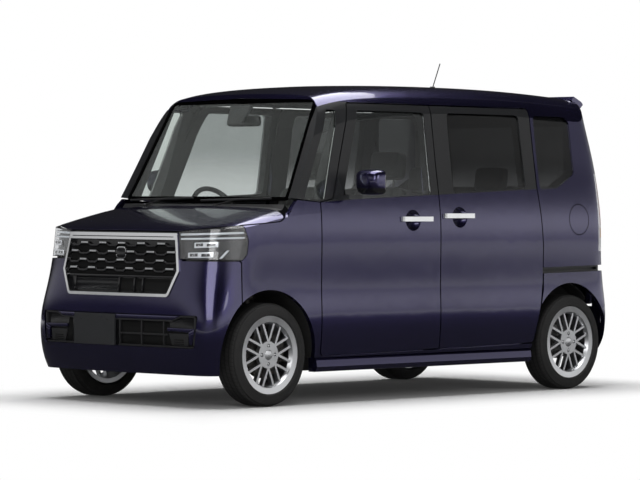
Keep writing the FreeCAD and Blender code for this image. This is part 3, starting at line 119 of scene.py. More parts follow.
def calculate(operation, first, second=0.0, third=0.0):
    node = add_node(tree_of(first, second, third), "ShaderNodeMath", operation=operation)
    for index, value in enumerate((first, second, third)):
        plug(node.inputs[index], value)
    return node.outputs[0]


def times(first, second):
    return calculate("MULTIPLY", first, second)


def minus(first, second):
    return calculate("SUBTRACT", first, second)


def largest(first, *others):
    for other in others:
        first = calculate("MAXIMUM", first, other)
    return first


def absolute(value):
    return calculate("ABSOLUTE", value)


def mix_colours(share, first, second, kind="MIX"):
    """Blend two colours. Sockets 0, 6 and 7 are the factor and the two colours."""
    node = add_node(tree_of(share, first, second), "ShaderNodeMix", data_type="RGBA", blend_type=kind)
    plug(node.inputs[0], share)
    plug(node.inputs[6], first)
    plug(node.inputs[7], second)
    return node.outputs[2]


def ramp(value, start, end):
    """A soft step from 0 at start to 1 at end."""
    return add_node(tree_of(value), "ShaderNodeMapRange", {
        "Value": value, "From Min": start, "From Max": end},
        interpolation_type="SMOOTHSTEP").outputs["Result"]


def spot_of(tree, kind="Object"):
    """The X, Y and Z of the shaded point. Object coordinates are metres on this car."""
    place = add_node(tree, "ShaderNodeTexCoord")
    return add_node(tree, "ShaderNodeSeparateXYZ", {"Vector": place.outputs[kind]}).outputs


def texture(tree, kind, scale, inputs=None, **settings):
    """The outputs of a procedural texture over object coordinates."""
    place = add_node(tree, "ShaderNodeTexCoord")
    return add_node(tree, f"ShaderNodeTex{kind}", {
        "Vector": place.outputs["Object"], "Scale": scale, **(inputs or {})}, **settings).outputs


def feed(shader, **inputs):
    """Feed inputs of a shader or a group, named with underscores for spaces."""
    for label, value in inputs.items():
        plug(shader.inputs[label.replace("_", " ")], value)


def new_material(name, **inputs):
    """A material with one Principled BSDF. Returns the material, its tree and the shader node."""
    material = bpy.data.materials.new(name)
    material.use_nodes = True
    tree = material.node_tree
    shader = tree.nodes["Principled BSDF"]
    feed(shader, **inputs)
    return material, tree, shader


FLOAT, COLOUR, VECTOR = "NodeSocketFloat", "NodeSocketColor", "NodeSocketVector"


def new_group(name, inputs, outputs):
    """A shader node group with named sockets. Returns the group and its two end nodes."""
    group = bpy.data.node_groups.new(name, "ShaderNodeTree")
    for label, kind, value in inputs:
        socket = group.interface.new_socket(label, in_out="INPUT", socket_type=kind)
        socket.default_value = value
    for label, kind in outputs:
        group.interface.new_socket(label, in_out="OUTPUT", socket_type=kind)
    return group, group.nodes.new("NodeGroupInput"), group.nodes.new("NodeGroupOutput")


def use_group(tree, group, **inputs):
    """Place a group in a material with its own values. Returns its outputs."""
    node = add_node(tree, "ShaderNodeGroup", node_tree=group)
    feed(node, **inputs)
    return node.outputs


# %% [markdown]
# ## Shared effects
# Three effects come back in many finishes. *Fine grain* is the leathery skin of moulded plastic,
# and the faint orange peel of paint when it is very weak. *Soft variation* is a slow cloud that
# keeps a large surface from looking like one flat colour. *Woven cloth* crosses two sets of
# threads, for seats. All of them read object coordinates, which are metres on this car.

# %% Group: fine grain
grain, grain_in, grain_out = new_group(
    "fine_grain",
    [("Scale", FLOAT, 900.0), ("Depth", FLOAT, 0.2), ("Distance", FLOAT, 0.0004)],
    [("Normal", VECTOR), ("Mask", FLOAT)],
)
speckle = texture(grain, "Voronoi", grain_in.outputs["Scale"])["Distance"]
relief = add_node(grain, "ShaderNodeBump", {
    "Strength": grain_in.outputs["Depth"], "Distance": grain_in.outputs["Distance"],
    "Height": speckle})
plug(grain_out.inputs["Normal"], relief.outputs["Normal"])
plug(grain_out.inputs["Mask"], speckle)

# %% Group: soft variation
cloud, cloud_in, cloud_out = new_group(
    "soft_variation",
    [("Base", COLOUR, (0.5, 0.5, 0.5, 1)), ("Other", COLOUR, (0.4, 0.4, 0.4, 1)),
     ("Scale", FLOAT, 3.0), ("Amount", FLOAT, 0.5)],
    [("Colour", COLOUR), ("Mask", FLOAT)],
)
noise = texture(cloud, "Noise", cloud_in.outputs["Scale"], {"Detail": 4.0})["Fac"]
share = times(noise, cloud_in.outputs["Amount"])
plug(cloud_out.inputs["Colour"], mix_colours(
    share, cloud_in.outputs["Base"], cloud_in.outputs["Other"]))
plug(cloud_out.inputs["Mask"], noise)

# %% Group: woven cloth
weave, weave_in, weave_out = new_group(
    "woven_cloth",
    [("Thread", COLOUR, (0.1, 0.1, 0.1, 1)), ("Gap", COLOUR, (0.03, 0.03, 0.03, 1)),
     ("Scale", FLOAT, 260.0), ("Depth", FLOAT, 0.5)],
    [("Colour", COLOUR), ("Normal", VECTOR)],
)
threads = [texture(weave, "Wave", weave_in.outputs["Scale"], {"Distortion": 0.6, "Detail": 1.0},
                   bands_direction=direction)["Fac"] for direction in ("X", "Z")]
crossing = times(*threads)
plug(weave_out.inputs["Colour"], mix_colours(
    crossing, weave_in.outputs["Gap"], weave_in.outputs["Thread"]))
cloth_relief = add_node(weave, "ShaderNodeBump", {
    "Strength": weave_in.outputs["Depth"], "Distance": 0.0006, "Height": crossing})
plug(weave_out.inputs["Normal"], cloth_relief.outputs["Normal"])
print("groups:", [group.name for group in bpy.data.node_groups])

# %% [markdown]
# ## Metallic paint
# Deep indigo car paint is three coats: a dark base, aluminium flakes in violet varnish, and clear
# lacquer on top. A metallic Principled BSDF stands for base and flakes, its Coat for the lacquer. A
# very small Voronoi pattern lightens single flakes, and a slow cloud shifts the colour a little from
# panel to panel. The doors and the body sides use the same paint with the black window pillars added
# by height, because the real pillars are covered with satin black film.

# %% Paint
PAINT_DARK = (0.018, 0.0155, 0.062, 1)
PAINT_LIGHT = (0.037, 0.031, 0.104, 1)
FLAKE = (0.17, 0.155, 0.29, 1)
FLAKE_SCALE, FLAKE_LIMIT, FLAKE_SHARE = 1400.0, 0.8, 0.25
PAINT_METALLIC, PAINT_ROUGHNESS = 0.9, 0.23


def flake_colour(tree):
    """Indigo that varies slowly over the body, with finer, lighter flakes in it."""
    slow = use_group(tree, cloud, Base=PAINT_DARK, Other=PAINT_LIGHT, Scale=1.6, Amount=0.9)
    flakes = texture(tree, "Voronoi", FLAKE_SCALE)["Color"]
    bright = calculate("GREATER_THAN", flakes, FLAKE_LIMIT)
    share = times(bright, FLAKE_SHARE)
    return mix_colours(share, slow["Colour"], FLAKE)


def make_paint(name):
    material, tree, shader = new_material(
        name, Metallic=PAINT_METALLIC, Roughness=PAINT_ROUGHNESS,
        Coat_Weight=1.0, Coat_Roughness=0.05)
    peel = use_group(tree, grain, Scale=260.0, Depth=0.02, Distance=0.0002)
    feed(shader, Base_Color=flake_colour(tree), Normal=peel["Normal"])
    return material, tree, shader


body_paint = make_paint("indigo_metallic_paint")[0]
print("paint made:", body_paint.name)

# %% [markdown]
# ## Plastics, rubber and dark metal
# Black trim on a car is never one black. Bumper grilles and the cowl have a moulded grain, window
# film is smooth and satin, lamp housings are glossy, tyres are dull with rings moulded in the
# sidewall. Each gets its own roughness, grain and a slight drift of colour.

# %% Dark finishes
def make_plastic(name, dark, light, roughness, scale=900.0, depth=0.25, metallic=0.0):
    material, tree, shader = new_material(name, Roughness=roughness, Metallic=metallic)
    shade = use_group(tree, cloud, Base=(*dark, 1), Other=(*light, 1), Scale=9.0, Amount=0.8)
    skin = use_group(tree, grain, Scale=scale, Depth=depth)
    feed(shader, Base_Color=shade["Colour"], Normal=skin["Normal"])
    return material


satin_black = make_plastic("satin_black_film", (0.018, 0.019, 0.021), (0.030, 0.031, 0.034), 0.38,
                           scale=1500.0, depth=0.05)
moulded_black = make_plastic(
    "moulded_black_plastic", (0.012, 0.012, 0.013), (0.022, 0.022, 0.024), 0.5)
gloss_black = make_plastic("gloss_black_plastic", (0.006, 0.006, 0.007), (0.012, 0.012, 0.014), 0.12,
                           scale=500.0, depth=0.02)
underseal = make_plastic("black_underseal", (0.012, 0.012, 0.012), (0.030, 0.029, 0.028), 0.7,
                         scale=350.0, depth=0.5)
raw_iron = make_plastic("raw_cast_iron", (0.06, 0.058, 0.055), (0.12, 0.11, 0.10), 0.6,
                        scale=600.0, depth=0.6, metallic=0.8)
steel = make_plastic("dull_steel", (0.20, 0.20, 0.20), (0.34, 0.33, 0.32), 0.42,
                     scale=700.0, depth=0.15, metallic=0.9)
dash_skin = make_plastic("soft_dash_skin", (0.016, 0.016, 0.017), (0.028, 0.028, 0.030), 0.62,
                         scale=420.0, depth=0.4)
print("dark finishes made")

# %% [markdown]
# ## Bright metal
# The grille frame and the door handles are chrome plate, so they are fully metallic and very
# smooth. The wheels are cast alloy with a turned, silver face. A slow cloud in the roughness keeps
# both from looking like a perfect mirror.

# %% Bright metal
def make_metal(name, dark, light, roughness, spread):
    material, tree, shader = new_material(name, Metallic=1.0)
    shade = use_group(tree, cloud, Base=(*dark, 1), Other=(*light, 1), Scale=14.0, Amount=1.0)
    rough = calculate("MULTIPLY_ADD", shade["Mask"], spread, roughness)
    feed(shader, Base_Color=shade["Colour"], Roughness=rough)
    return material


chrome = make_metal("bright_chrome", (0.84, 0.85, 0.87), (0.93, 0.94, 0.95), 0.10, 0.08)
alloy = make_metal("silver_alloy", (0.66, 0.67, 0.69), (0.84, 0.85, 0.87), 0.26, 0.12)
print("bright metal made")

# %% [markdown]
# ## Glass and lenses
# The windshield and front windows are clear with a faint green cast, the rear windows are privacy
# glass. All are perfectly smooth, and only the tint varies. In the door windows the tint is painted
# lighter towards the bottom and darker at the top, as a painted reflection and painted light.

# %% Glass
GLASS = {"Transmission_Weight": 1.0, "Roughness": 0.0, "IOR": 1.5}


def make_glass(name, tint, other):
    material, tree, shader = new_material(name, **GLASS)
    shade = use_group(tree, cloud, Base=(*tint, 1), Other=(*other, 1), Scale=2.0, Amount=0.6)
    feed(shader, Base_Color=shade["Colour"])
    return material


def painted_gradient_glass(name, top, bottom, low, high):
    """Tinted glass with painted light: darker towards its upper edge and lighter below, between two
    heights, as a painted reflection.
    """
    material, tree, shader = new_material(name, **GLASS)
    level = ramp(spot_of(tree)["Z"], low, high)
    shade = use_group(tree, cloud, Base=(1, 1, 1, 1), Other=(0.92, 0.93, 0.93, 1),
                      Scale=2.0, Amount=0.6)
    tint = mix_colours(level, (*bottom, 1), (*top, 1))
    feed(shader, Base_Color=mix_colours(1.0, tint, shade["Colour"], "MULTIPLY"))
    return material


GREEN_TINTS = (0.74, 0.78, 0.76), (0.70, 0.74, 0.72)
clear_glass = make_glass("clear_green_glass", *GREEN_TINTS)
# Both door glasses are painted lighter towards the bottom and darker towards the top: painted
# reflection and painted light.
door_glass = painted_gradient_glass("front_door_glass", (0.36, 0.38, 0.38), (0.70, 0.72, 0.72), 1.15, 1.45)
privacy_glass = painted_gradient_glass("privacy_glass", (0.05, 0.052, 0.053), (0.34, 0.345, 0.35), 1.12, 1.36)
lens_clear = make_glass("clear_lens", (0.93, 0.94, 0.95), (0.90, 0.91, 0.93))
mirror_glass = make_metal("mirror_glass", (0.75, 0.76, 0.78), (0.82, 0.83, 0.85), 0.02, 0.02)
print("glass made")

# %% [markdown]
# ## Masks by place
# Some panels carry two finishes. The doors are paint below the window line and satin black film on
# the pillars, and their inner faces are grey trim. A mask by height and by the direction that a
# face looks in splits them without cutting the mesh. The window line rises towards the tail.

# %% Two-finish body panels
BELT_Z, BELT_Y, BELT_RISE = 1.111, -0.8225, 0.0419
FILM_TOP = 1.668
INWARD = 0.3


def above(value, limit, soft=0.002):
    """A mask that turns from 0 to 1 as a value passes a limit."""
    return add_node(tree_of(value), "ShaderNodeMapRange", {
        "Value": minus(value, limit), "From Min": 0.0, "From Max": soft}).outputs["Result"]


def below(value, limit, soft=0.002):
    return minus(1.0, above(value, limit, soft))


def inner_face(tree, axis):
    """1 where a face looks towards the cabin: along -Z under the roof, or towards the middle."""
    outward = spot_of(tree, "Normal")[axis]
    if axis == "X":
        side = calculate("SIGN", spot_of(tree)["X"])
        outward = times(outward, side)
    return above(times(outward, -1.0), INWARD)


def film_mask(tree, rear_end):
    """1 on the window pillars: above the window line, under the roof rail, ahead of rear_end."""
    spot = spot_of(tree)
    along = minus(spot["Y"], BELT_Y)
    line = calculate("MULTIPLY_ADD", along, BELT_RISE, BELT_Z)
    over_belt = above(spot["Z"], line)
    in_band = times(over_belt, below(spot["Z"], FILM_TOP))
    return times(in_band, calculate("LESS_THAN", spot["Y"], rear_end))


TRIM = (0.035, 0.035, 0.037, 1)
FILM = (0.010, 0.0105, 0.012, 1)
COVER_ROUGHER, COVER_COAT_LOSS = 0.18, 0.9


def make_panel_paint(name, rear_end=None, axis="X"):
    """Body paint with black film on the window pillars and grey trim on the cabin side."""
    material, tree, shader = make_paint(name)
    colour = shader.inputs["Base Color"].links[0].from_socket
    trim = inner_face(tree, axis)
    other = trim
    if rear_end is not None:
        film = film_mask(tree, rear_end)
        colour = mix_colours(film, colour, FILM)
        other = largest(trim, film)
    colour = mix_colours(trim, colour, TRIM)
    feed(shader, Base_Color=colour,
         Metallic=calculate("MULTIPLY_ADD", other, -PAINT_METALLIC, PAINT_METALLIC),
         Roughness=calculate("MULTIPLY_ADD", other, COVER_ROUGHER, PAINT_ROUGHNESS),
         Coat_Weight=calculate("MULTIPLY_ADD", other, -COVER_COAT_LOSS, 1.0))
    return material


door_paint = make_panel_paint("door_paint_and_film", rear_end=1.045)
side_paint = make_panel_paint("side_paint_and_film", rear_end=-0.30)
roof_paint = make_panel_paint("roof_paint_and_headliner", axis="Z")
print("panel paints:", door_paint.name, side_paint.name, roof_paint.name)

# %% [markdown]
# ## Tyres
# The rubber is dull and almost black. Rings moulded in the sidewall follow the radius, and the tread
# has grooves round the tyre and short cuts across it. The grooves and cuts are painted near black, as
# painted shade in them, which leaves the sidewall a little greyer than the tread. All four tyres
# share one material: folding the coordinates about the car's middle gives each its own centre.

# %% Tyre rubber
AXLE_MIDDLE, AXLE_HALF, HUB_Z, TRACK_HALF = 0.0425, 1.26, 0.281, 0.6525
TREAD_RADIUS = 0.2695
RINGS, RING_DEPTH, GROOVES, CUTS, CUT_SLANT = 900.0, 0.12, 200.0, 74.0, 60.0
tyre_rubber, tree, shader = new_material("tyre_rubber", Roughness=0.78)
spot = spot_of(tree)
along = minus(absolute(minus(spot["Y"], AXLE_MIDDLE)), AXLE_HALF)
high = minus(spot["Z"], HUB_Z)
across = minus(absolute(spot["X"]), TRACK_HALF)
radius = calculate("SQRT", calculate("ADD", times(along, along), times(high, high)))
angle = calculate("ARCTAN2", high, along)
rings = calculate("SINE", times(radius, RINGS))
on_tread = above(radius, TREAD_RADIUS, 0.001)
grooves = calculate("GREATER_THAN", calculate("SINE", times(across, GROOVES)), 0.72)
cut_wave = calculate("MULTIPLY_ADD", angle, CUTS, times(across, CUT_SLANT))
cuts = calculate("GREATER_THAN", calculate("SINE", cut_wave), 0.9)
cuts_with_painted_shade = times(largest(grooves, cuts), on_tread)
side_share = times(minus(1.0, on_tread), RING_DEPTH)
height = minus(times(rings, side_share), cuts_with_painted_shade)
relief = add_node(tree, "ShaderNodeBump", {"Strength": 0.8, "Distance": 0.004, "Height": height})
shade = use_group(tree, cloud, Base=(0.012, 0.012, 0.012, 1), Other=(0.024, 0.023, 0.023, 1),
                  Scale=20.0, Amount=1.0)
# The grooves and cuts are painted near black: painted shade in the recesses of the tread.
feed(shader, Base_Color=mix_colours(cuts_with_painted_shade, shade["Colour"], (0.003, 0.003, 0.003, 1)),
     Normal=relief.outputs["Normal"])
print("tyre rubber made")

# %% [markdown]
# ## Cloth
# The seats are covered in a dark grey woven cloth. The weave group gives its threads and their
# relief, and Sheen adds the soft, pale edge that cloth has when it is seen at a flat angle.

# %% Seat cloth
seat_cloth, tree, shader = new_material("grey_seat_cloth", Roughness=0.9, Sheen_Weight=0.4)
cloth = use_group(tree, weave, Thread=(0.105, 0.105, 0.104, 1), Gap=(0.060, 0.060, 0.060, 1),
                  Scale=90.0, Depth=0.3)
slow = use_group(tree, cloud, Base=(1, 1, 1, 1), Other=(0.8, 0.8, 0.8, 1), Scale=5.0, Amount=1.0)
feed(shader, Base_Color=mix_colours(1.0, cloth["Colour"], slow["Colour"], "MULTIPLY"),
     Normal=cloth["Normal"])
print("cloth made")

# %% [markdown]
# ## Dress the CAD nodes
# Each node has one material slot in its mesh. Replacing what sits in the slot changes the finish and
# leaves the mesh as it is. Lamps, mirrors, windshield and rear window follow further down.

# %% Assign finishes
FINISHES = {
    body_paint: "hood front_fenders front_bumper rear_bumper tailgate roof_spoiler fuel_lid "
                "side_sills",
    door_paint: "front_door_left front_door_right sliding_door_left sliding_door_right",
    side_paint: "side_frame_left side_frame_right",
    roof_paint: "roof_panel",
    satin_black: "mirror_base_left mirror_base_right plate_bracket slide_rails",
    moulded_black: "cowl_panel front_wipers rear_wiper antenna",
    gloss_black: "front_grille",
    underseal: "underbody front_structure fuel_tank",
    raw_iron: "knuckle_left knuckle_right engine_block",
    steel: "rear_axle exhaust",
    dash_skin: "dashboard steering_wheel",
    chrome: "grille_frame front_door_handle_left front_door_handle_right sliding_door_handles",
    alloy: "rim_front_left rim_front_right rim_rear_left rim_rear_right",
    clear_glass: "front_quarter_glasses",
    door_glass: "front_door_glass_left front_door_glass_right",
    privacy_glass: "sliding_door_glasses rear_quarter_glasses",
    lens_clear: "headlamp_lenses",
    tyre_rubber: "tyre_front_left tyre_front_right tyre_rear_left tyre_rear_right",
    seat_cloth: "front_seats rear_seat",
}


def dress(finishes):
    """Put each material on the nodes that are named with it. Returns how many nodes that is."""
    count = 0
    for material, names in finishes.items():
        for name in names.split():
            for slot in nodes[name].material_slots:
                slot.material = material
            count += 1
    return count


print("dressed", dress(FINISHES), "of", len(nodes), "nodes")

# %% [markdown]
# ## Making small pieces
# Most small parts of a car follow the skin that they sit in, as a light bar curves with its lens.
# One way to model such a part is to draw a grid, ask for each of its points where a ray from outside
# meets the CAD skin, and move that point inwards a little. The Solidify modifier then gives the sheet
# its real thickness and a small bevel rounds its edges.

# %% Helpers for pieces
def joined(shapes):
    """Some shapes as one. A shape is a list of points and a list of faces."""
    points, faces = [], []
    for more_points, more_faces in shapes:
        start = len(points)
        points += more_points
        faces += [[start + index for index in face] for face in more_faces]
    return points, faces


def skin_of(*names):
    """The joined surface of some CAD nodes, for casting rays at."""
    meshes = [nodes[name].data for name in names]
    return BVHTree.FromPolygons(*joined(
        ([vertex.co.copy() for vertex in mesh.vertices], [face.vertices for face in mesh.polygons])
        for mesh in meshes))


def cast(skin, origin, direction, inset=0.0):
    """Where a ray meets the skin, moved in by inset."""
    place, normal, _, _ = skin.ray_cast(Vector(origin), Vector(direction))
    if place is None:
        raise ValueError(f"no skin seen from {origin}")
    if normal.dot(Vector(direction)) > 0:
        normal = -normal
    return place - normal * inset


def round_edges(piece, width):
    edge = piece.modifiers.new("bevel", "BEVEL")
    edge.width, edge.segments, edge.limit_method = width, 2, "ANGLE"


def weld(mesh):
    """Join doubled points, as on a turned part's axis, and turn all faces outwards."""
    clean = bmesh.new()
    clean.from_mesh(mesh)
    bmesh.ops.remove_doubles(clean, verts=clean.verts, dist=1e-6)
    bmesh.ops.recalc_face_normals(clean, faces=clean.faces)
    clean.to_mesh(mesh)
    clean.free()


def new_piece(name, shape, material, body="body", bevel=0.0, smooth=True, welded=False):
    mesh = bpy.data.meshes.new(name)
    mesh.from_pydata(shape[0], [], shape[1])
    if welded:
        weld(mesh)
    piece = bpy.data.objects.new(name, mesh)
    bpy.context.scene.collection.objects.link(piece)
    mesh.materials.append(material)
    for face in mesh.polygons:
        face.use_smooth = smooth
    if bevel:
        round_edges(piece, bevel)
    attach(piece, body)
    return piece


def grid(place_at, columns, rows):
    """A grid whose points come from place_at(u, v), with u and v from 0 to 1."""
    step = columns + 1
    points = [place_at(u / columns, v / rows) for v in range(rows + 1) for u in range(step)]
    faces = [(v * step + u, v * step + u + 1, (v + 1) * step + u + 1, (v + 1) * step + u)
             for v in range(rows) for u in range(columns)]
    return points, faces


def sheet_piece(name, sheets, columns, rows, thickness, material, body="body", bevel=0.0):
    """One piece of several grids. Each grid's points come from its own place_at(u, v)."""
    shape = joined(grid(place_at, columns, rows) for place_at in sheets)
    piece = new_piece(name, shape, material, body)
    solid = piece.modifiers.new("thickness", "SOLIDIFY")
    solid.thickness, solid.offset = thickness, 0.0
    if bevel:
        round_edges(piece, bevel)
    return piece


def turned(section, segments, matrix):
    """Turn a section of (along, radius) about a frame's own Z axis."""
    count = len(section)
    points, faces = [], []
    for turn in range(segments):
        angle = 2 * math.pi * turn / segments
        points += [matrix @ Vector((radius * math.cos(angle), radius * math.sin(angle), along))
                   for along, radius in section]
        here, there = turn * count, (turn + 1) % segments * count
        faces += [(here + i, there + i, there + i + 1, here + i + 1) for i in range(count - 1)]
    return points, faces


def turned_piece(name, section, segments, frames, material, body="body", smooth=True):
    """One piece of a section that is turned in several frames."""
    shape = joined(turned(section, segments, matrix) for matrix in frames)
    return new_piece(name, shape, material, body, smooth=smooth, welded=True)


def facing(place, direction):
    """A frame at a place whose Z axis looks along a direction."""
    turn = Vector(direction).to_track_quat("Z", "Y").to_matrix().to_4x4()
    return Matrix.Translation(place) @ turn


# %% [markdown]
# ## Headlamps
# Behind each clear lens two light bars run along the top and meet at the outer end. They are pale,
# milky guides. Below them sit two flat modules with small projector lenses, and a slanted light at
# the outer end. All of them follow the lens: their points lie on rays that look from the outside
# towards an axis inside the corner of the car.

# %% Light guides
lamp_skin = skin_of("headlamp_lenses")
CORNER = (0.430, -1.330)


def on_lens(side, angle, height, inset):
    """A point on the lens at a plan angle (0 ahead, 90 outwards), moved in by inset."""
    way = Vector((side * math.sin(math.radians(angle)), -math.cos(math.radians(angle)), 0))
    origin = Vector((side * CORNER[0], CORNER[1], height)) + way
    return cast(lamp_skin, origin, -way, inset)


light_guide, tree, shader = new_material(
    "milky_light_guide", Roughness=0.22, Coat_Weight=0.6, Coat_Roughness=0.05)
feed(shader, Base_Color=mix_colours(
    texture(tree, "Wave", 90.0)["Fac"], (0.66, 0.70, 0.75, 1), (0.82, 0.85, 0.88, 1)))
module_silver = make_metal("lamp_module_silver", (0.60, 0.61, 0.63), (0.78, 0.79, 0.82), 0.22, 0.14)


def lamp_strip(side, start, end, low_in, low_out, high_in, high_out, inset):
    """A strip on the lens between two plan angles, whose heights change evenly along it."""
    def strip_point(u, v):
        low = low_in + (low_out - low_in) * u
        high = high_in + (high_out - high_in) * u
        return on_lens(side, start + (end - start) * u, low + (high - low) * v, inset)
    return strip_point


# %% [markdown]
# The two bars are not the same height: the lower one is thin and the upper one carries the lamp's
# top edge. Four heights describe each: the lower edge at the grille and at the outer end, then the
# upper edge at the same two places.

# %% Place the guides
SIDES = (1, -1)
GUIDE_START, GUIDE_END, GUIDE_INSET = 3, 77, 0.0085
GUIDES = {
    "upper": (0.926, 0.937, 0.937, 0.948),
    "lower": (0.903, 0.911, 0.913, 0.920),
}
for label, heights in GUIDES.items():
    strips = [lamp_strip(side, GUIDE_START, GUIDE_END, *heights, GUIDE_INSET) for side in SIDES]
    sheet_piece(f"light_guide_{label}", strips, 36, 3, 0.0025, light_guide)
print("light guides:", 2 * len(GUIDES))

# %% [markdown]
# The modules are silver shelves with dark windows. Each window holds a small projector lens: a glass
# dome in a chromed ring. Turning a short section about the lens axis makes both.

# %% Modules and projector lenses
MODULES = {"upper": (21, 47, 0.861, 0.866, 0.890, 0.895),
           "lower": (14, 42, 0.806, 0.811, 0.836, 0.841)}
OPENINGS = {"upper": ((23, 31), (35, 44)), "lower": ((16.5, 25.5), (29.5, 39))}
WINDOW_MARGIN, WINDOW_LEAN = 0.0085, 0.002
MODULE_INSET, WINDOW_INSET, PROJECTOR_INSET = 0.0165, 0.0116, 0.0118
windows, domes = [], []
for label, (start, end, *heights) in MODULES.items():
    strips = [lamp_strip(side, start, end, *heights, MODULE_INSET) for side in SIDES]
    sheet_piece(f"lamp_module_{label}", strips, 16, 3, 0.009, module_silver, bevel=0.0015)
    low, high = heights[0] + WINDOW_MARGIN, heights[3] - WINDOW_MARGIN
    for side in SIDES:
        for first, last in OPENINGS[label]:
            windows.append(lamp_strip(side, first, last, low, low + WINDOW_LEAN,
                                      high - WINDOW_LEAN, high, WINDOW_INSET))
            place = on_lens(side, 0.5 * (first + last), 0.5 * (low + high), PROJECTOR_INSET)
            domes.append(facing(place, (side * 0.25, -1, 0)))
sheet_piece("module_windows", windows, 4, 2, 0.0012, gloss_black)
dome_section = [(0.0, 0.0), (0.0, 0.0058), (0.0030, 0.0052), (0.0048, 0.0032), (0.0056, 0.0)]
ring_section = [(-0.002, 0.0072), (0.0014, 0.0072), (0.0020, 0.0066), (0.0014, 0.0060),
                (-0.002, 0.0060)]
turned_piece("projector_lenses", dome_section, 20, domes, lens_clear)
turned_piece("projector_rings", ring_section, 20, domes, chrome)


def slanted(side):
    """The slanted light: it climbs by 44 mm while it goes 8 degrees outwards."""
    def slant_point(u, v):
        return on_lens(side, 49 + 8 * v + 3.0 * (u - 0.5), 0.804 + 0.044 * v, 0.0100)
    return slant_point


sheet_piece("slanted_lights", [slanted(side) for side in SIDES], 2, 10, 0.003, light_guide,
            bevel=0.0008)
print("projector lenses:", len(domes))

# %% [markdown]
# ## Grille
# Four wave bars cross the opening, stepped up and down like a row of half hexagons and staggered
# from row to row. Each bar is a strip of a grid whose height follows the steps. It stands on the
# CAD panel behind it. The upper steps carry bright, chromed dashes.

# %% Wave bars
grille_skin = skin_of("front_grille")
PITCH, FLAT, STEP, BAR = 0.155, 0.056, 0.014, 0.013
GRILLE_ROWS = (0.872, 0.826, 0.780, 0.735)
GRILLE_MIDDLE, BUMPER_BAR, INTAKE_MIDDLE = 0.83, 0.55, 0.41
AHEAD, SHRINK_STEPS, SHRINK = -2.2, 14, 0.01


def on_nose(x, z, inset, skin=None):
    """The point on a nose panel at x and z. Just past the panel's edge, a point a little inside."""
    middle = GRILLE_MIDDLE if z > BUMPER_BAR else INTAKE_MIDDLE
    for step in range(SHRINK_STEPS):
        share = 1.0 - SHRINK * step
        origin = Vector((x * share, AHEAD, middle + (z - middle) * share))
        place, normal, _, _ = (skin or grille_skin).ray_cast(origin, Vector((0, 1, 0)))
        if place is not None:
            outward = normal if normal.y < 0 else -normal
            return place - outward * inset
    raise ValueError(f"no nose panel at {x}, {z}")


def nose_strip(low_x, high_x, low, high, inset, skin=None):
    """A level strip on the nose, between two x values and two heights."""
    def strip_point(u, v):
        return on_nose(low_x + (high_x - low_x) * u, low + (high - low) * v, inset, skin)
    return strip_point


def wave(x, shift):
    """How far a bar steps up or down at x."""
    off = abs((x - shift) / PITCH - round((x - shift) / PITCH)) * PITCH
    slope = min(1.0, max(0.0, (off - FLAT / 2) / (PITCH / 2 - FLAT)))
    return STEP * (0.5 - slope)


GRILLE_TOP, GRILLE_TALL, TOP_HALF, WIDENING = 0.944, 0.211, 0.414, 0.038
BAR_OUT, DASH_OUT = -0.0065, -0.0142


def grille_reach(height):
    """Half the width of the opening at a height: it widens downwards."""
    return TOP_HALF + WIDENING * (GRILLE_TOP - height) / GRILLE_TALL


def wave_bar(height, shift):
    reach = grille_reach(height)

    def bar_point(u, v):
        x = (2 * u - 1) * reach
        return on_nose(x, height + wave(x, shift) - BAR * (0.5 - v), BAR_OUT)
    return bar_point


waves = [(height, 0.5 * PITCH * (index % 2)) for index, height in enumerate(GRILLE_ROWS)]
sheet_piece("grille_wave_bars", [wave_bar(*row) for row in waves], 132, 1, 0.013, gloss_black,
            bevel=0.0012)
bright_dash = make_metal("bright_dash", (0.74, 0.75, 0.77), (0.88, 0.89, 0.91), 0.30, 0.1)
dashes = []
for height, shift in waves:
    for index in range(-3, 4):
        middle = index * PITCH + shift
        if abs(middle) + FLAT / 2 < grille_reach(height):
            level = height + STEP / 2
            dashes.append(nose_strip(middle - FLAT / 2, middle + FLAT / 2,
                                     level - 0.0045, level + 0.0055, DASH_OUT))
sheet_piece("grille_dashes", dashes, 6, 1, 0.0022, bright_dash, bevel=0.0006)
print("dashes:", len(dashes))

# %% [markdown]
# Below the wave bars a level bar closes the pattern. Under it a panel with fine upright ribs fills
# the left half, and three dark slots with dividers fill the other. The dark openings are strips of
# a black that gives nothing back, laid on the CAD panel: painted shade for the depth behind the
# grille.

# %% Lower grille
# A black that gives nothing back, for sheets of painted shade in the grille and intake openings.
painted_shade_black = make_plastic(
    "painted_shade_black", (0.0022, 0.0022, 0.0024), (0.003, 0.003, 0.0032), 0.9, 30.0)
LEVEL_BAR, LOWER_BASE, DIVIDER, DIVIDER_OUT = (0.694, 0.706), 0.612, 0.010, -0.006
lower_bars = [nose_strip(-0.440, 0.440, *LEVEL_BAR, DIVIDER_OUT)]
lower_bars += [nose_strip(x, x + DIVIDER, LOWER_BASE, LEVEL_BAR[0], DIVIDER_OUT)
               for x in (-0.367, -0.001, 0.120, 0.185)]
sheet_piece("grille_lower_bars", lower_bars, 24, 2, 0.012, gloss_black, bevel=0.0015)
sheet_piece("ribbed_panel", [nose_strip(-0.357, -0.001, 0.622, LEVEL_BAR[0], -0.003)],
            16, 2, 0.006, satin_black)
RIB_PITCH, RIB_WIDTH, FIRST_RIB = 0.008, 0.0036, -0.3542
rib_starts = [FIRST_RIB + RIB_PITCH * index for index in range(44)]
sheet_piece("panel_ribs", [nose_strip(x, x + RIB_WIDTH, 0.627, 0.690, BAR_OUT) for x in rib_starts],
            1, 2, 0.003, gloss_black)
OPENING_OUT = -0.0006
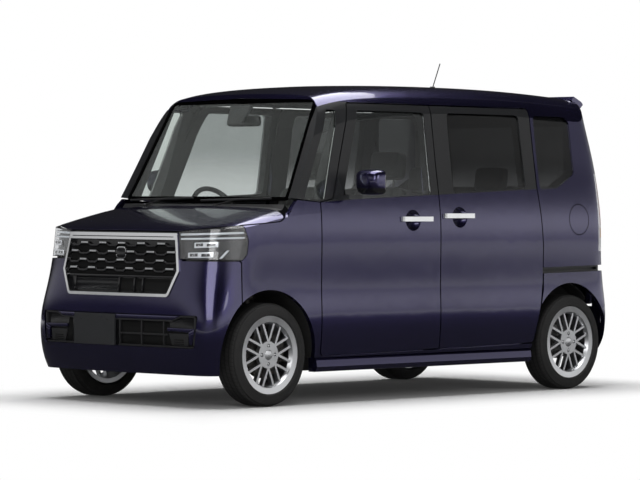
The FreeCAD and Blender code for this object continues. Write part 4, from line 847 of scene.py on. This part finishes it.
# The slots and the gaps between the wave bars are black sheets: painted shade.
openings = [nose_strip(low, high, 0.614, 0.690, OPENING_OUT) for low, high in (
    (0.012, 0.118), (0.132, 0.183), (0.197, 0.392))]
for height, next_height in zip(GRILLE_ROWS, (*GRILLE_ROWS[1:], LEVEL_BAR[1])):
    reach = grille_reach(height) - 0.004
    openings.append(nose_strip(-reach, reach, next_height, height, OPENING_OUT))
sheet_piece("grille_painted_shade", openings, 40, 3, 0.0008, painted_shade_black)
frame_skin = skin_of("grille_frame")
# A gloss black strip along the chrome top bar is painted shade, standing for a groove in the bar.
sheet_piece("grille_frame_painted_groove_shade", [nose_strip(-0.408, 0.408, 0.9155, 0.9200, 0.0, frame_skin)],
            48, 1, 0.0012, gloss_black)
print("lower grille made")

# %% [markdown]
# ## Lower intake
# A painted cover strip narrows the opening in the middle, where it steps down, and a black rim runs
# round the opening. At each end a painted fin reaches inwards over a wedge with three slots, whose
# dark insides are painted shade.

# %% Intake cover, rim and fins
def slanted_strip(corners, inset):
    """A four-sided patch on the nose from its lower left, lower right, upper right and upper left."""
    def patch_point(u, v):
        low = [corners[0][i] + (corners[1][i] - corners[0][i]) * u for i in (0, 1)]
        high = [corners[3][i] + (corners[2][i] - corners[3][i]) * u for i in (0, 1)]
        x, z = (low[i] + (high[i] - low[i]) * v for i in (0, 1))
        return on_nose(x, z, inset)
    return patch_point


def both(corners, inset):
    """The patch and its mirror image, both facing ahead."""
    flipped = [(-x, z) for x, z in (corners[1], corners[0], corners[3], corners[2])]
    return [slanted_strip(corners, inset), slanted_strip(flipped, inset)]


COVER_OUT, RIM_OUT, FIN_OUT, WEDGE_OUT, SLOT_OUT, CELL_OUT = (
    -0.0100, -0.0080, -0.0105, -0.0060, -0.0112, -0.0008)
sheet_piece("intake_cover", [slanted_strip(
    ((-0.440, 0.472), (0.440, 0.472), (0.500, 0.4960), (-0.500, 0.4960)), COVER_OUT)],
    48, 2, 0.015, body_paint, bevel=0.003)
rim = [slanted_strip(((-0.430, 0.463), (0.430, 0.463), (0.440, 0.472), (-0.440, 0.472)), RIM_OUT)]
for corners in (((0.430, 0.463), (0.440, 0.472), (0.500, 0.4960), (0.498, 0.487)),
                ((0.498, 0.487), (0.600, 0.487), (0.600, 0.4960), (0.500, 0.4960)),
                ((0.586, 0.342), (0.598, 0.340), (0.606, 0.485), (0.594, 0.485)),
                ((0.020, 0.3245), (0.596, 0.3245), (0.590, 0.333), (0.020, 0.333))):
    rim += both(corners, RIM_OUT)
sheet_piece("intake_rim", rim, 36, 1, 0.013, moulded_black, bevel=0.002)
fins = both(((0.404, 0.413), (0.560, 0.409), (0.600, 0.428), (0.404, 0.430)), FIN_OUT)
fins += both(((0.563, 0.345), (0.582, 0.342), (0.600, 0.428), (0.560, 0.409)), FIN_OUT)
sheet_piece("intake_fins", fins, 16, 3, 0.013, body_paint, bevel=0.003)
wedge = both(((0.432, 0.336), (0.548, 0.336), (0.556, 0.402), (0.410, 0.402)), WEDGE_OUT)
sheet_piece("intake_wedges", wedge, 16, 3, 0.009, moulded_black, bevel=0.003)
# The three slots are black strips on the wedge: painted shade.
slots = []
for low in (0.342, 0.353, 0.364):
    high = low + 0.005
    slots += both(((0.450, low), (0.520, low), (0.518, high), (0.448, high)), SLOT_OUT)
sheet_piece("wedge_slots_painted_shade", slots, 6, 1, 0.0012, painted_shade_black)
print("intake rim and fins:", len(rim) + len(fins))

# %% [markdown]
# Beside the blank plate panel three uprights and a level bar make four cells. Past them the opening
# ends in a slope, beside the fin. The dark cells and slope are black sheets of painted shade.

# %% Cells of the intake
CELL_LOW, CELL_HIGH = 0.333, 0.463
uprights = [nose_strip(x, x + DIVIDER, CELL_LOW, CELL_HIGH, DIVIDER_OUT)
            for x in (0.024, 0.196, 0.366)]
sheet_piece("intake_bars", uprights + [nose_strip(0.034, 0.400, 0.388, 0.397, BAR_OUT)],
            24, 3, 0.011, moulded_black, bevel=0.0015)
slope_end = ((0.376, CELL_LOW), (0.430, CELL_LOW), (0.404, CELL_HIGH), (0.376, CELL_HIGH))
# The cells and the sloped end are black sheets over the panel behind: painted shade.
sheet_piece("intake_painted_shade", [nose_strip(0.034, 0.366, CELL_LOW, CELL_HIGH, CELL_OUT)]
            + both(slope_end, CELL_OUT), 20, 3, 0.0008, painted_shade_black)
print("intake dressed")

# %% [markdown]
# A plain black plaque with a chrome rim sits in the middle of the grille. Both are rounded plates,
# like the mirrors further down.

# %% Plaque
def rounded_outline(width, height, radius, steps=6):
    """Corner points of a rectangle with round corners, in its own plane."""
    points = []
    for corner in range(4):
        middle_x = (width / 2 - radius) * (1 if corner in (0, 3) else -1)
        middle_y = (height / 2 - radius) * (1 if corner in (0, 1) else -1)
        for step in range(steps + 1):
            angle = math.pi / 2 * (corner + step / steps)
            points.append((middle_x + radius * math.cos(angle),
                           middle_y + radius * math.sin(angle)))
    return points


def ring_faces(count, rings):
    """The faces between closed rings of points, each ring with the same count."""
    return [(ring * count + i, ring * count + (i + 1) % count, (ring + 1) * count + (i + 1) % count,
             (ring + 1) * count + i) for ring in range(rings - 1) for i in range(count)]


def plate_piece(name, size, radius, thickness, frame_matrix, material, body="body",
                crown=0.0, bevel=0.0):
    """A rounded plate, a little crowned, whose front looks along the frame's Z axis."""
    width, height = size
    outline = rounded_outline(width, height, radius)
    rings = [(1.0, 0.0), (1.0, thickness), (0.8, thickness + 0.55 * crown),
             (0.4, thickness + 0.92 * crown)]
    points = [frame_matrix @ Vector((x * scale, y * scale, level))
              for scale, level in rings for x, y in outline]
    points.append(frame_matrix @ Vector((0, 0, thickness + crown)))
    count = len(outline)
    top = (len(rings) - 1) * count
    faces = ring_faces(count, len(rings))
    faces += [(top + i, top + (i + 1) % count, len(points) - 1) for i in range(count)]
    faces.append(tuple(range(count))[::-1])
    return new_piece(name, (points, faces), material, body, bevel=bevel)


PLAQUE_HEIGHT, PLAQUE_OUT = 0.828, 0.0135
plaque_place = cast(grille_skin, (0.0, AHEAD, GRILLE_ROWS[0]), (0, 1, 0))
plaque_place.z = PLAQUE_HEIGHT
plaque_frame = facing(plaque_place + Vector((0, -PLAQUE_OUT, 0)), (0, -1, 0))
plate_piece("plaque_rim", (0.078, 0.066), 0.022, 0.003, plaque_frame, chrome, bevel=0.001)
plate_piece("plaque", (0.070, 0.058), 0.019, 0.0042, plaque_frame, gloss_black,
            crown=0.0015, bevel=0.0008)
print("plaque at", [round(value, 3) for value in plaque_place])

# %% [markdown]
# ## Wheels
# Four nuts hold each wheel. A nut is a six-sided section with a domed end, turned in six steps, and
# it sits down in its hole. The cap in the middle is plain. Both ride on their wheel.

# %% Nuts and caps
FACE_X, LUG_CIRCLE, NUT_DEPTH, CAP_DEPTH = TRACK_HALF + 0.061, 0.050, 0.0119, 0.0039
nut_section = [(0.0, 0.0), (0.0, 0.0095), (0.0075, 0.0095), (0.0105, 0.0062), (0.0115, 0.0)]
cap_section = [(0.0, 0.0272), (0.0034, 0.0272), (0.0046, 0.0255), (0.0046, 0.0205), (0.0062, 0.0140),
               (0.0068, 0.0)]
WHEELS = {"fl": (1, -1), "fr": (-1, -1), "rl": (1, 1), "rr": (-1, 1)}
for label, (side, end) in WHEELS.items():
    axle_y = AXLE_MIDDLE + end * AXLE_HALF
    outwards = (side, 0, 0)
    nuts = []
    for index in range(4):
        angle = math.radians(90 * index)
        centre = Vector((side * (FACE_X - NUT_DEPTH), axle_y + LUG_CIRCLE * math.sin(angle),
                         HUB_Z + LUG_CIRCLE * math.cos(angle)))
        nuts.append(facing(centre, outwards))
    turned_piece(f"wheel_nuts_{label}", nut_section, 6, nuts, chrome, f"wheel_{label}", smooth=False)
    cap = facing(Vector((side * (FACE_X - CAP_DEPTH), axle_y, HUB_Z)), outwards)
    turned_piece(f"wheel_cap_{label}", cap_section, 40, [cap], alloy, f"wheel_{label}")
print("wheels dressed:", len(WHEELS))

# %% [markdown]
# ## Seats
# The seats show through the glass. A seat cushion is a crowned pad: its face swells between the
# seams and its sides pull in between the corners. The pad starts as a finely divided box whose
# points are pushed onto a rounded form. A crown lifts the middle, and sewn channels press narrow
# lines into the face.

# %% Pads
def pad_points(points, size, crown, channels, roundness=6.0):
    """Push the points of a box from -1 to 1 onto a crowned pad of that size.

    A channel is its axis (0 across, 1 along), its place from -1 to 1, its width and its depth."""
    moved = []
    for point in points:
        norm = sum(abs(value) ** roundness for value in point) ** (1 / roundness)
        u, v, w = (value / norm for value in point)
        swell = (1 - u * u) * (1 - v * v)
        pull = 1 - 0.045 * (1 - w * w)
        z = w * size[2] / 2
        if w > 0.3:
            z += crown * swell
            for axis, line, width, depth in channels:
                gap = ((u, v)[axis] - line) / width
                z -= depth * math.exp(-gap * gap)
        moved.append(Vector((
            u * size[0] / 2 * pull * (1 - 0.02 * (1 - v * v)), v * size[1] / 2 * pull, z)))
    return moved


def pad(name, size, crown, channels, places, material):
    """One or more equal pads as one padded piece. Each place is a matrix."""
    cube = bmesh.new()
    bmesh.ops.create_cube(cube, size=2.0)
    bmesh.ops.subdivide_edges(cube, edges=cube.edges, cuts=27, use_grid_fill=True)
    formed = pad_points([vertex.co for vertex in cube.verts], size, crown, channels)
    faces = [[vertex.index for vertex in face.verts] for face in cube.faces]
    cube.free()
    shape = joined(([place @ point for point in formed], faces) for place in places)
    piece = new_piece(name, shape, material)
    return piece


def leaning(place, degrees):
    """A frame whose pad face (+Z) looks ahead and leans back by some degrees."""
    return Matrix.Translation(place) @ Matrix.Rotation(math.radians(90 - degrees), 4, "X")


SEAT_SIDES = (0.300, -0.300)
cushion_seams = [(0, -0.62, 0.05, 0.010), (0, 0.62, 0.05, 0.010), (1, 0.10, 0.04, 0.006)]
front_cushions = pad("front_seat_cushions", (0.49, 0.49, 0.165), 0.022, cushion_seams,
                     [Matrix.Translation((x, -0.170, 0.535)) for x in SEAT_SIDES], seat_cloth)
front_backs = pad("front_seat_backs", (0.46, 0.60, 0.115), 0.016,
                  [(0, -0.64, 0.05, 0.010), (0, 0.64, 0.05, 0.010), (1, 0.35, 0.035, 0.006),
                   (1, -0.2, 0.035, 0.006)],
                  [leaning((x, 0.085, 0.905), 10.5) for x in SEAT_SIDES], seat_cloth)
front_rests = pad("front_head_restraints", (0.245, 0.165, 0.075), 0.012, [(1, -0.55, 0.06, 0.004)],
                  [leaning((x, 0.163, 1.318), 6) for x in SEAT_SIDES], seat_cloth)
print("front seat pads:", 6)

# %% Rear bench
BENCH_SIDES = (0.262, -0.262)
rear_cushions = pad("rear_seat_cushions", (0.505, 0.45, 0.155), 0.018, [(1, 0.2, 0.04, 0.006)],
                    [Matrix.Translation((x, 0.672, 0.535)) for x in BENCH_SIDES], seat_cloth)
rear_backs = pad("rear_seat_backs", (0.505, 0.55, 0.100), 0.014,
                 [(1, 0.5, 0.035, 0.006), (1, -0.1, 0.035, 0.006)],
                 [leaning((x, 1.000, 0.885), 15) for x in BENCH_SIDES], seat_cloth)
rear_rests = pad("rear_head_restraints", (0.235, 0.150, 0.062), 0.010, [],
                 [leaning((x, 1.100, 1.245), 8) for x in (0.270, -0.270)], seat_cloth)
print("rear bench pads:", 6)

# %% [markdown]
# A front seat stands on a moulded box with a side shield, and two steel posts carry its head
# restraint. The rear bench stands on a low plinth. These rigid parts belong to the same nodes as
# the pads, so they are modelled with them.

# %% Seat bases and posts
BOX_SIDES = [(0, 2, 3, 1), (4, 5, 7, 6), (0, 1, 5, 4), (2, 6, 7, 3), (0, 4, 6, 2), (1, 3, 7, 5)]


def box(low, high):
    ends = list(zip(low, high))
    return [(x, y, z) for z in ends[2] for y in ends[1] for x in ends[0]], BOX_SIDES


def boxes_piece(name, boxes):
    """Some boxes as one piece. Each is given by its lowest and its highest corner."""
    return new_piece(name, joined(box(low, high) for low, high in boxes), dash_skin,
                     bevel=0.012, smooth=False)


front_boxes = [((x - 0.205, -0.375, 0.276), (x + 0.205, 0.035, 0.470)) for x in SEAT_SIDES]
front_boxes += [((x + s * 0.232 - 0.012, -0.36, 0.40), (x + s * 0.232 + 0.012, 0.06, 0.50))
                for x in SEAT_SIDES for s in SIDES]
front_base = boxes_piece("front_seat_bases", front_boxes)
rear_base = boxes_piece("rear_seat_base", [((-0.455, 0.525, 0.276), (0.455, 0.835, 0.470))])
posts = [facing(Vector((x + s * 0.060, 0.140, 1.170)), (0, 0.10, 1))
         for x in SEAT_SIDES for s in SIDES]
post_section = [(0.0, 0.0), (0.0, 0.006), (0.110, 0.006), (0.110, 0.0)]
turned_piece("head_restraint_posts", post_section, 16, posts, steel)
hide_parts("front_seats")
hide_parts("front_seats")
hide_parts("front_seats")
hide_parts("front_seats")
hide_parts("rear_seat")
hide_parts("rear_seat")
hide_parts("rear_seat")
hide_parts("rear_seat")
print("seats replaced")

# %% [markdown]
# ## Under the windshield's top edge
# A driver sees a mirror, a camera housing on the glass and two sun visors here. They are dark shapes
# from outside, but the windshield looks empty without them.

# %% Mirror, camera housing and visors
glass_skin = skin_of("windshield")


def behind_glass(x, z):
    """A point on the cabin side of the windshield, seen from the cabin."""
    return cast(glass_skin, (x, 0.0, z), (0, -1, 0), 0.0)


def housing_side(u, v):
    half = 0.085 - 0.030 * v
    return behind_glass((2 * u - 1) * half, 1.655 - 0.115 * v) + Vector((0, 0.020, -0.004))


sheet_piece("camera_housing", [housing_side], 8, 6, 0.030, gloss_black, bevel=0.008)
mirror_place = behind_glass(0.0, 1.565) + Vector((0, 0.105, 0))
plate_piece("cabin_mirror", (0.235, 0.062), 0.026, 0.022, facing(mirror_place, (0, -1, -0.1)),
            gloss_black, crown=0.010)
plate_piece("cabin_mirror_glass", (0.222, 0.050), 0.020, 0.002, facing(
    mirror_place + Vector((0, 0.0005, 0)), (0, 1, 0.1)), mirror_glass)
stalk = [facing(mirror_place + Vector((0, -0.020, 0.004)), (0, -1, 0.45))]
stalk_section = [(0.0, 0.0), (0.0, 0.009), (0.060, 0.008), (0.066, 0.0)]
turned_piece("cabin_mirror_stalk", stalk_section, 16, stalk, gloss_black)
pad("sun_visors", (0.40, 0.150, 0.020), 0.003, [], [
    Matrix.Translation((x, -0.640, 1.672)) @ Matrix.Rotation(math.radians(-8), 4, "X")
    for x in SEAT_SIDES], dash_skin)
print("mirror at", [round(value, 3) for value in mirror_place])

# %% [markdown]
# ## Door mirrors
# The glass sits in the flat back of each housing and rides on the folding part.

# %% Door mirror glass
for side, word in zip(SIDES, "lr"):
    place = facing(Vector((side * 0.852, -0.5232, 1.2205)), (0, 1, 0))
    plate_piece(f"door_mirror_glass_{word}", (0.134, 0.112), 0.024, 0.0012, place, mirror_glass,
                f"mirror_{word}", crown=0.0010)
print("door mirror glasses:", 2)

# %% [markdown]
# ## Tail lamps
# The tall rear lamps have a pale outer lens that wraps round the corner. The face that looks back is
# red above, with an amber window and a clear one at its foot. The lens is one CAD node, so these
# fields are masks by place in its material, with fine upright ribs for the optics.

# %% Lamp fields
def within(value, low, high, soft=0.0015):
    """A mask that is 1 between two limits."""
    return times(above(value, low, soft), below(value, high, soft))


tail_lens, tree, shader = new_material(
    "tail_lamp_lens", Roughness=0.12, Coat_Weight=1.0, Coat_Roughness=0.03)
spot = spot_of(tree)
across = absolute(spot["X"])
REAR_FACE_Y, FIELD_IN, FIELD_OUT = 1.585, 0.600, 0.727
rear_face = times(above(spot["Y"], REAR_FACE_Y, 0.004), within(across, FIELD_IN, FIELD_OUT))
red_field, amber_field = (times(rear_face, within(spot["Z"], low, high))
                          for low, high in ((0.975, 1.262), (0.900, 0.960)))
optics = texture(tree, "Wave", 55.0)["Fac"]
pale_lens = mix_colours(optics, (0.50, 0.51, 0.53, 1), (0.64, 0.65, 0.68, 1))
reds = mix_colours(optics, (0.22, 0.006, 0.008, 1), (0.42, 0.014, 0.016, 1))
ambers = mix_colours(optics, (0.55, 0.20, 0.02, 1), (0.75, 0.32, 0.05, 1))
colour = mix_colours(red_field, pale_lens, reds)
feed(shader, Base_Color=mix_colours(amber_field, colour, ambers))
relief = add_node(tree, "ShaderNodeBump", {
    "Strength": 0.25, "Distance": 0.001, "Height": optics})
feed(shader, Normal=relief.outputs["Normal"])
print("tail lamp lens made")

# %% [markdown]
# ## Black borders
# A bonded windshield has a black ceramic border that hides the glue. Black glass colour lets no
# light through, so the border is a mask in the tint. The border of the rear window is the same.

# %% Bordered glass
def bordered(name, base, other, half_at, slope, low, high, edge):
    """Glass with a black border: a trapezoid whose half width is half_at + slope * (z - low)."""
    material, tree, shader = new_material(name, **GLASS)
    spot = spot_of(tree)
    across = absolute(spot["X"])
    limit = calculate("MULTIPLY_ADD", minus(spot["Z"], low), slope, half_at - edge)
    side_share = above(across, limit)
    middle = within(spot["Z"], low + edge, high - edge)
    border = largest(side_share, minus(1.0, middle))
    shade = use_group(tree, cloud, Base=(*base, 1), Other=(*other, 1), Scale=2.0, Amount=0.6)
    feed(shader, Base_Color=mix_colours(border, shade["Colour"], (0.002, 0.002, 0.002, 1)))
    return material


BORDER = 0.030
shield_glass = bordered("windshield_glass", *GREEN_TINTS, 0.656, -0.125, 1.105, 1.692, BORDER)
lowest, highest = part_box("tailgate_glass")
rear_glass = bordered("rear_window_glass", (0.10, 0.102, 0.104), (0.14, 0.143, 0.145),
                      highest.x, -0.04, lowest.z, highest.z, BORDER)
print("rear window:", [round(value, 3) for value in (*lowest, *highest)])

# %% [markdown]
# ## Lamp housing and mirror caps
# The lamp housing is dark and a little glossy. The mirror caps are painted above and black below and
# behind, by a mask of place again.

# %% Housings
lamp_interior, tree, shader = new_material("lamp_interior", Roughness=0.2)
shade = use_group(tree, cloud, Base=(0.008, 0.008, 0.009, 1), Other=(0.014, 0.014, 0.016, 1),
                  Scale=20.0, Amount=1.0)
feed(shader, Base_Color=shade["Colour"])

CAP_BASE, CAP_BACK = 1.186, -0.534
mirror_cap, tree, shader = make_paint("mirror_cap_paint")
spot = spot_of(tree)
black_share = largest(below(spot["Z"], CAP_BASE), above(spot["Y"], CAP_BACK))
painted = shader.inputs["Base Color"].links[0].from_socket
feed(shader, Base_Color=mix_colours(black_share, painted, (0.006, 0.006, 0.007, 1)),
     Metallic=calculate("MULTIPLY_ADD", black_share, -PAINT_METALLIC, PAINT_METALLIC))
print("dressed", dress({
    tail_lens: "tail_lamps", shield_glass: "windshield", rear_glass: "tailgate_glass",
    lamp_interior: "headlamps", mirror_cap: "mirror_left mirror_right"}), "more nodes")

# %% [markdown]
# ## Mirror housings
# The housing is flat at the back, where the glass sits, and bulged in front. Rings across it are
# given as shares of its depth and of its half height, and a subdivision surface rounds the cage. It
# takes the place of the plain CAD housing.

# %% Mirror housings
MIRROR_X, MIRROR_Y, MIRROR_LOW, MIRROR_HIGH = 0.795, -0.600, 1.149, 1.292
MIRROR_DEPTH, MIRROR_BACK = 0.098, 0.0775
MIRROR_RING = [
    (0.0, 0.0), (0.0, 0.72), (0.0, 1.0), (0.10, 1.0), (0.45, 1.0), (0.86, 0.88), (1.0, 0.45),
    (1.0, -0.10), (0.94, -0.62), (0.70, -0.94), (0.35, -1.0), (0.08, -1.0), (0.0, -1.0), (0.0, -0.72)]
MIRROR_STATIONS = [
    (-0.0195, 0.80, 0.80), (-0.014, 0.95, 0.94), (0.010, 1.0, 1.0), (0.060, 1.0, 1.0),
    (0.105, 0.97, 0.98), (0.128, 0.86, 0.90), (0.1385, 0.66, 0.72)]


def mirror_shape(side):
    back, middle = MIRROR_Y + MIRROR_BACK, 0.5 * (MIRROR_LOW + MIRROR_HIGH)
    half = 0.5 * (MIRROR_HIGH - MIRROR_LOW)
    points = [(side * (MIRROR_X + along), back - MIRROR_DEPTH * deep * ahead,
               middle + half * tall * up)
              for along, tall, deep in MIRROR_STATIONS for ahead, up in MIRROR_RING]
    count = len(MIRROR_RING)
    faces = ring_faces(count, len(MIRROR_STATIONS))
    faces += [tuple(range(count))[::-1], tuple(range(len(points) - count, len(points)))]
    return points, [face if side > 0 else face[::-1] for face in faces]


for side, word in zip(SIDES, ("left", "right")):
    housing = new_piece(f"mirror_housing_{word}", mirror_shape(side), mirror_cap, f"mirror_{word[0]}")
    round_off = housing.modifiers.new("rounding", "SUBSURF")
    round_off.levels = round_off.render_levels = 2
    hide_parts(f"mirror_{word}")
print("mirror housings made")

# %% [markdown]
# ## Rear details
# A black strip with the opener sits in the middle of the tailgate, and a red reflector low in each
# corner of the bumper. Both are sheets on the skin, seen from behind.

# %% Rear strip and reflectors
BEHIND = 2.4
rear_skin = skin_of("tailgate", "rear_bumper", "roof_spoiler")


def rear_patch(middle, half, low, high, inset):
    """A level strip on the tail, from its middle, half its width and two heights."""
    def patch_point(u, v):
        origin = (middle + (2 * u - 1) * half, BEHIND, low + (high - low) * v)
        return cast(rear_skin, origin, (0, -1, 0), inset)
    return patch_point


sheet_piece("opener_strip", [rear_patch(0.0, 0.185, 0.926, 0.950, -0.004)], 24, 3, 0.010,
            gloss_black, "tailgate_lid", bevel=0.003)
reflector_red, tree, shader = new_material(
    "reflector_red", Roughness=0.15, Coat_Weight=1.0, Coat_Roughness=0.03)
feed(shader, Base_Color=mix_colours(
    texture(tree, "Voronoi", 260.0)["Distance"], (0.45, 0.010, 0.012, 1), (0.16, 0.004, 0.005, 1)))
reflectors = [rear_patch(side * 0.560, 0.050, 0.395, 0.425, 0.0) for side in SIDES]
sheet_piece("rear_reflectors", reflectors, 8, 2, 0.003, reflector_red, bevel=0.001)
print("rear details made")

# %% [markdown]
# ## Studio
# The floor is pale and catches the shadow. Close to the car it is a real diffuse surface, and further
# out it fades to the plain white of the background, so no horizon shows. Only camera, glossy and
# transmission rays see that white, which keeps it from lighting the car. In the paint the floor near
# the car is dark, as over a black mat in a car studio, so the lower body keeps its deep colour.

# %% Floor
FLOOR_REACH, FLOOR_DROP = 60.0, 0.0005
SHADOW_HALF_X, SHADOW_HALF_Y = 0.74, 1.70
NEAR_FADE, FAR_FADE = (0.08, 0.85), (6.0, 24.0)
FLOOR_LIFT, MAT_GLOW, MAT_SHARE = 0.02, 0.04, 0.96
WHITE = (1, 1, 1, 1)
floor_mesh = bpy.data.meshes.new("studio_floor")
corners = [(x * FLOOR_REACH, y * FLOOR_REACH, 0) for x, y in ((-1, -1), (1, -1), (1, 1), (-1, 1))]
floor_mesh.from_pydata(corners, [], [(0, 1, 2, 3)])
floor = bpy.data.objects.new("studio_floor", floor_mesh)
floor.location.z = -FLOOR_DROP
bpy.context.scene.collection.objects.link(floor)

pale, tree, shader = new_material("pale_floor", Roughness=0.6)
feed(shader, Base_Color=mix_colours(
    texture(tree, "Noise", 6.0)["Fac"], (0.86, 0.86, 0.86, 1), (0.90, 0.90, 0.90, 1)))
rays = add_node(tree, "ShaderNodeLightPath").outputs
glossy = rays["Is Glossy Ray"]
spot = spot_of(tree)
beside = minus(absolute(spot["X"]), SHADOW_HALF_X)
beyond = minus(absolute(spot["Y"]), SHADOW_HALF_Y)
distance = largest(beside, beyond)


def glow(strength):
    return add_node(tree, "ShaderNodeEmission", {"Color": WHITE, "Strength": strength}).outputs[0]


def blend(share, first, second):
    node = add_node(tree, "ShaderNodeMixShader", {0: share})
    plug(node.inputs[1], first)
    plug(node.inputs[2], second)
    return node.outputs[0]


lit = add_node(tree, "ShaderNodeAddShader", {0: shader.outputs[0], 1: glow(FLOOR_LIFT)}).outputs[0]
near = blend(times(glossy, MAT_SHARE), lit, glow(MAT_GLOW))
glossy_fade = times(ramp(distance, *FAR_FADE), glossy)
straight = largest(rays["Is Camera Ray"], rays["Is Transmission Ray"])
share = largest(glossy_fade, times(ramp(distance, *NEAR_FADE), straight))
plug(tree.nodes["Material Output"].inputs["Surface"], blend(share, near, glow(1.0)))
floor_mesh.materials.append(pale)
print("floor made")

# %% [markdown]
# What the paint mirrors shapes a car more than what lights it. The world holds three soft light cards
# that only glossy rays see: one at the rear left for the side, one at the front right for the nose,
# and a weak one at the front left.

# %% World
world = bpy.data.worlds.new("studio_world")
bpy.context.scene.world = world
world.use_nodes = True
tree = world.node_tree
tree.nodes.clear()
rays = add_node(tree, "ShaderNodeLightPath").outputs
place = add_node(tree, "ShaderNodeTexCoord")
height = spot_of(tree, "Generated")["Z"]
CARD_FADE, MIRRORED_REST, SKY_LIGHT = 0.45, 0.015, 0.12


def card(direction, width, low, high, brightness, start=-1.0):
    """A soft light card round one compass direction, from start up to low, faded out at high."""
    towards = add_node(tree, "ShaderNodeVectorMath", {
        0: place.outputs["Generated"], 1: (*direction, 0.0)}, operation="DOT_PRODUCT")
    level = add_node(tree, "ShaderNodeMapRange", {
        "Value": height, "From Min": low, "From Max": high, "To Min": brightness, "To Max": 0.0},
        interpolation_type="SMOOTHSTEP")
    turn = ramp(towards.outputs["Value"], width, width + CARD_FADE)
    lower = ramp(height, start - 0.05, start + 0.04)
    return times(times(level.outputs["Result"], turn), lower)


side_card = card((0.70, 0.71), 0.45, 0.06, 0.24, 1.25, start=0.0)
nose_card = card((-0.70, -0.71), 0.45, 0.22, 0.45, 0.6, start=0.11)
corner_card = card((0.70, -0.71), 0.5, 0.0, 0.35, 0.40)
cards = largest(side_card, nose_card, corner_card)
mirrored = times(rays["Is Glossy Ray"], calculate("ADD", cards, MIRRORED_REST))
seen = largest(rays["Is Camera Ray"], rays["Is Transmission Ray"], mirrored)
strength = largest(seen, times(rays["Is Diffuse Ray"], SKY_LIGHT))
background = add_node(tree, "ShaderNodeBackground", {"Color": WHITE, "Strength": strength})
add_node(tree, "ShaderNodeOutputWorld", {"Surface": background.outputs[0]})
print("world made")

# %% [markdown]
# ## Lights
# A wide softbox over the roof gives the soft shadow under the car and the bright line along the hood
# and the shoulders. A second one at the front left lifts the nose, and a weak one fills the side.

# %% Softboxes
def softbox(name, place, aim, size, power):
    data = bpy.data.lights.new(name, "AREA")
    data.shape = "RECTANGLE"
    data.size, data.size_y = size
    data.energy = power
    lamp = bpy.data.objects.new(name, data)
    lamp.location = place
    lamp.rotation_mode = "QUATERNION"
    lamp.rotation_quaternion = (Vector(aim) - Vector(place)).to_track_quat("-Z", "Y")
    bpy.context.scene.collection.objects.link(lamp)
    return lamp


softbox("over_roof", (0.0, 0.0, 5.6), (0, 0, 0), (4.0, 7.0), 420)
softbox("front_left", (6.0, -8.0, 4.2), (0.2, -0.8, 0.7), (6.0, 4.0), 240)
softbox("side_fill", (8.5, 2.5, 3.0), (0.2, 0.6, 0.8), (3.0, 2.0), 60)
bpy.context.scene.view_settings.view_transform = "Standard"
